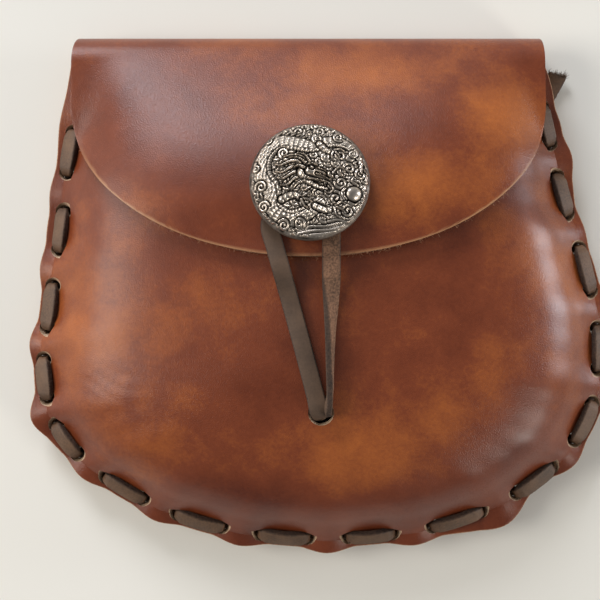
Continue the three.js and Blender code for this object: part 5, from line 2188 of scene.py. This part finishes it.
@dataclass(frozen=True)
class Concho:
    """The cast button on the flap, with the boss that the thong goes round."""

    form: PouchForm
    relief: Relief = Relief()
    x: float = -1.8
    y: float = 26.7
    radius: float = 14.6
    stand: float = 2.4
    rim: float = 1.4
    rise: float = 3.4
    hollow: float = 3.0
    edge: float = 0.45
    boss_radius: float = 2.9
    bore_radius: float = 1.9
    bore_depth: float = 4.4
    seat: float = 4.4
    cells: int = 230
    back_steps: int = 8
    # Rounded rim: how far in and how far up its two upper rings stand, as shares of the edge and the rim
    rim_rings: tuple[Pair, ...] = ((0.3, 0.8), (0.0, 0.5))
    back_recess: float = 0.6
    crisp_angle: float = 60.0

    def placing(self) -> Matrix:
        """Where the concho stands: on the flap's outer face and square to it.

        Returns:
            The placing, in metres.
        """
        near = self.seat
        x = self.x + np.array([0.0, near, -near, 0.0, 0.0])
        y = self.y + np.array([0.0, 0.0, 0.0, near, -near])
        z = self.form.flap_height(x, y)
        normal = Vector((-(z[1] - z[2]) / (2.0 * near), -(z[3] - z[4]) / (2.0 * near), 1.0)).normalized()
        foot = Vector((self.x, self.y, z[0])) + normal * 0.5 * self.form.leather
        turn = Vector((0.0, 0.0, 1.0)).rotation_difference(normal)
        return Matrix.Translation(foot * MM) @ turn.to_matrix().to_4x4()

    def read(self, raster: Array, x: Array, y: Array) -> Array:
        """Reads a raster of the relief between its cells.

        Args:
            raster: the raster.
            x: places across.
            y: places up.

        Returns:
            The values there.
        """
        last = self.relief.cells - 1
        across = np.clip((x / self.relief.radius + 1.0) * 0.5 * last, 0.0, last - TINY)
        up = np.clip((y / self.relief.radius + 1.0) * 0.5 * last, 0.0, last - TINY)
        i, j = across.astype(int), up.astype(int)
        s, t = across - i, up - j
        low = raster[j, i] * (1.0 - s) + raster[j, i + 1] * s
        high = raster[j + 1, i] * (1.0 - s) + raster[j + 1, i + 1] * s
        return low * (1.0 - t) + high * t

    def build(self) -> list[Piece]:
        """Makes the cast shell, its boss and its bore, and dresses them.

        Returns:
            The finished piece, in a list.
        """
        heights, recess = self.relief.raster()
        line = np.linspace(-1.0, 1.0, self.cells + 1)
        u, v = np.meshgrid(line, line)
        face_radius = self.radius - self.edge
        x = face_radius * u * np.sqrt(1.0 - 0.5 * v**2)
        y = face_radius * v * np.sqrt(1.0 - 0.5 * u**2)
        dome = self.stand + self.rim + self.rise * (1.0 - (x**2 + y**2) / self.radius**2)
        points = np.stack([x, y, dome + self.read(heights, x, y)], axis=-1)
        face = grid_of("cast_concho", points)
        border = np.concatenate([points[0], points[1:, -1], points[-1, -2::-1], points[-2::-1, 0]])
        unit = border[:, :2] / face_radius
        rings = [border]
        for reach, z in self.back_rings():
            rings.append(np.column_stack([unit * reach, np.full(len(unit), z)]))
        concho = join(face, grid_of("concho_back", np.array(rings)[:, ::-1]))
        merge_doubles(concho)
        unite(concho, round_bar(self.boss_radius, self.form.gap, self.stand + self.hollow + self.edge))
        wear(concho, AntiqueSilver().material())
        punch(concho, round_bar(self.bore_radius, -self.form.gap, self.bore_depth))
        place = points_of(concho)
        upper = place[:, 2] > self.stand + self.rim
        dark = np.where(upper, self.read(recess, place[:, 0], place[:, 1]), self.back_recess)
        paint(concho, "recess", dark)
        concho.data.transform(self.placing())
        smooth_shade(concho, self.crisp_angle)
        dress(concho, Node.CONCHO)
        return [concho]

    def back_rings(self) -> list[Pair]:
        """Radius and height of the rings from the rim to the middle of the hollow back.

        Returns:
            One pair for each ring.
        """
        rings = [(self.radius - far * self.edge, self.stand + up * self.rim) for far, up in self.rim_rings]
        rings.append((self.radius - self.edge, self.stand))
        for k in range(1, self.back_steps + 1):
            share = 1.0 - k / self.back_steps
            rings.append((share * (self.radius - self.edge), self.stand + self.hollow * (1.0 - share**2)))
        return rings


@dataclass(frozen=True)
class ConchoScrew:
    """The screw from the flap's inside into the boss."""

    form: PouchForm
    concho: Concho
    head: float = 4.4
    head_thick: float = 1.0
    shank: float = 1.6
    length: float = 4.0
    edge: float = 0.2

    def build(self) -> list[Piece]:
        """Makes the screw and dresses it.

        Returns:
            The finished piece, in a list.
        """
        under = -self.form.leather - 2.0 * self.form.gap
        screw = round_bar(self.head, under - self.head_thick, under)
        unite(screw, round_bar(self.shank, under - 0.5 * self.head_thick, self.length))
        apply_modifier(screw, "BEVEL", width=self.edge * MM, segments=2)
        screw.name = "concho_screw_pin"
        screw.data.transform(self.concho.placing())
        wear(screw, PlainNickel().material())
        smooth_shade(screw)
        dress(screw, Node.SCREW)
        return [screw]


@dataclass(frozen=True)
class SoftLight:
    """A soft square light that looks at the pouch: where it stands, its side, its watts and its colour."""

    name: str
    place: Triple
    size: float
    power: float
    code: str

    def add(self) -> None:
        """Adds the light to the scene."""
        deselect_all()
        bpy.ops.object.light_add(type="AREA", location=Vector(self.place) * MM)
        lamp = bpy.context.object
        lamp.name = self.name
        lamp.data.size = self.size * MM
        lamp.data.energy = self.power
        lamp.data.color = colour(self.code)[:3]
        lamp.rotation_mode = "QUATERNION"
        lamp.rotation_quaternion = (-Vector(self.place)).to_track_quat("-Z", "Y")


@dataclass(frozen=True)
class Studio:
    """The table, the lights and the camera."""

    camera_at: Triple = (-4.2, -1.05, 330.0)
    camera_near: float = 10.0
    lens: float = 73.6
    sensor: float = 36.0
    table_half: float = 1500.0
    table_z: float = -0.05
    table_cells: int = 4
    lights: tuple[SoftLight, ...] = (
        SoftLight("window_light", (-434.0, 1074.0, 620.0), 450.0, 11.4, "#f3f6ff"),
        SoftLight("left_light", (-900.0, 60.0, 620.0), 600.0, 7.6, "#fbf6f0"),
        SoftLight("side_light", (861.0, 110.0, 150.0), 200.0, 2.6, "#f2f6ff"),
        SoftLight("room_light", (830.0, -580.0, 400.0), 300.0, 3.6, "#fbf6ee"),
    )
    # The room's own light: its colour, the direction it is palest in, and its strength from dim to pale
    room_colour: str = "#f1f2f4"
    room_pale_way: Triple = (-0.4, 0.7, -0.55)
    room_range: Pair = (-0.5, 0.6)
    room_strength: Pair = (0.26, 0.69)

    def build(self) -> None:
        """Makes the table, the lights and the camera."""
        deselect_all()
        bpy.ops.mesh.primitive_grid_add(
            x_subdivisions=self.table_cells,
            y_subdivisions=self.table_cells,
            size=2.0 * self.table_half * MM,
            location=(0.0, 0.0, self.table_z * MM),
        )
        table = bpy.context.object
        table.name = "table_top"
        bpy.ops.object.transform_apply(location=True, rotation=True, scale=True)
        wear(table, PaleTable().material())
        for light in self.lights:
            light.add()
        scene = bpy.context.scene
        scene.world = self.room()
        scene.view_settings.view_transform = "Standard"
        deselect_all()
        bpy.ops.object.camera_add(location=Vector(self.camera_at) * MM)
        camera = bpy.context.object
        camera.name = "overhead_camera"
        camera.data.lens = self.lens
        camera.data.sensor_width = self.sensor
        camera.data.clip_start = self.camera_near * MM
        scene.camera = camera

    def room(self) -> bpy.types.World:
        """Makes the room's own light: pale at the sides and behind, dim overhead and in front.

        Returns:
            The new world.
        """
        world = bpy.data.worlds.new("pale_room")
        world.use_nodes = True
        tree = world.node_tree
        way = put(tree, "TexCoord", {}, "Generated")
        inputs = {0: way, 1: self.room_pale_way}
        behind = put(tree, "VectorMath", inputs, "Value", operation="DOT_PRODUCT")
        low, high = self.room_range
        dim, pale = self.room_strength
        inputs = {"Value": behind, "From Min": low, "From Max": high, "To Min": dim, "To Max": pale}
        strength = put(tree, "MapRange", inputs)
        fill(tree, tree.nodes["Background"], {"Color": colour(self.room_colour), "Strength": strength})
        return world


def main() -> None:
    """Builds the studio, then the pouch piece by piece, and logs each piece's face count."""
    logging.basicConfig(level=logging.INFO, format="%(name)s: %(message)s")
    form = PouchForm()
    concho = Concho(form)
    Studio().build()
    makers = (
        FrontPanel(form),
        BackAndFlap(form),
        EdgeLace(form),
        ClosureThong(form),
        concho,
        ConchoScrew(form, concho),
    )
    for maker in makers:
        for piece in maker.build():
            log.info("%s: %d faces", piece.name, len(piece.data.polygons))


if __name__ == "__main__":
    main()
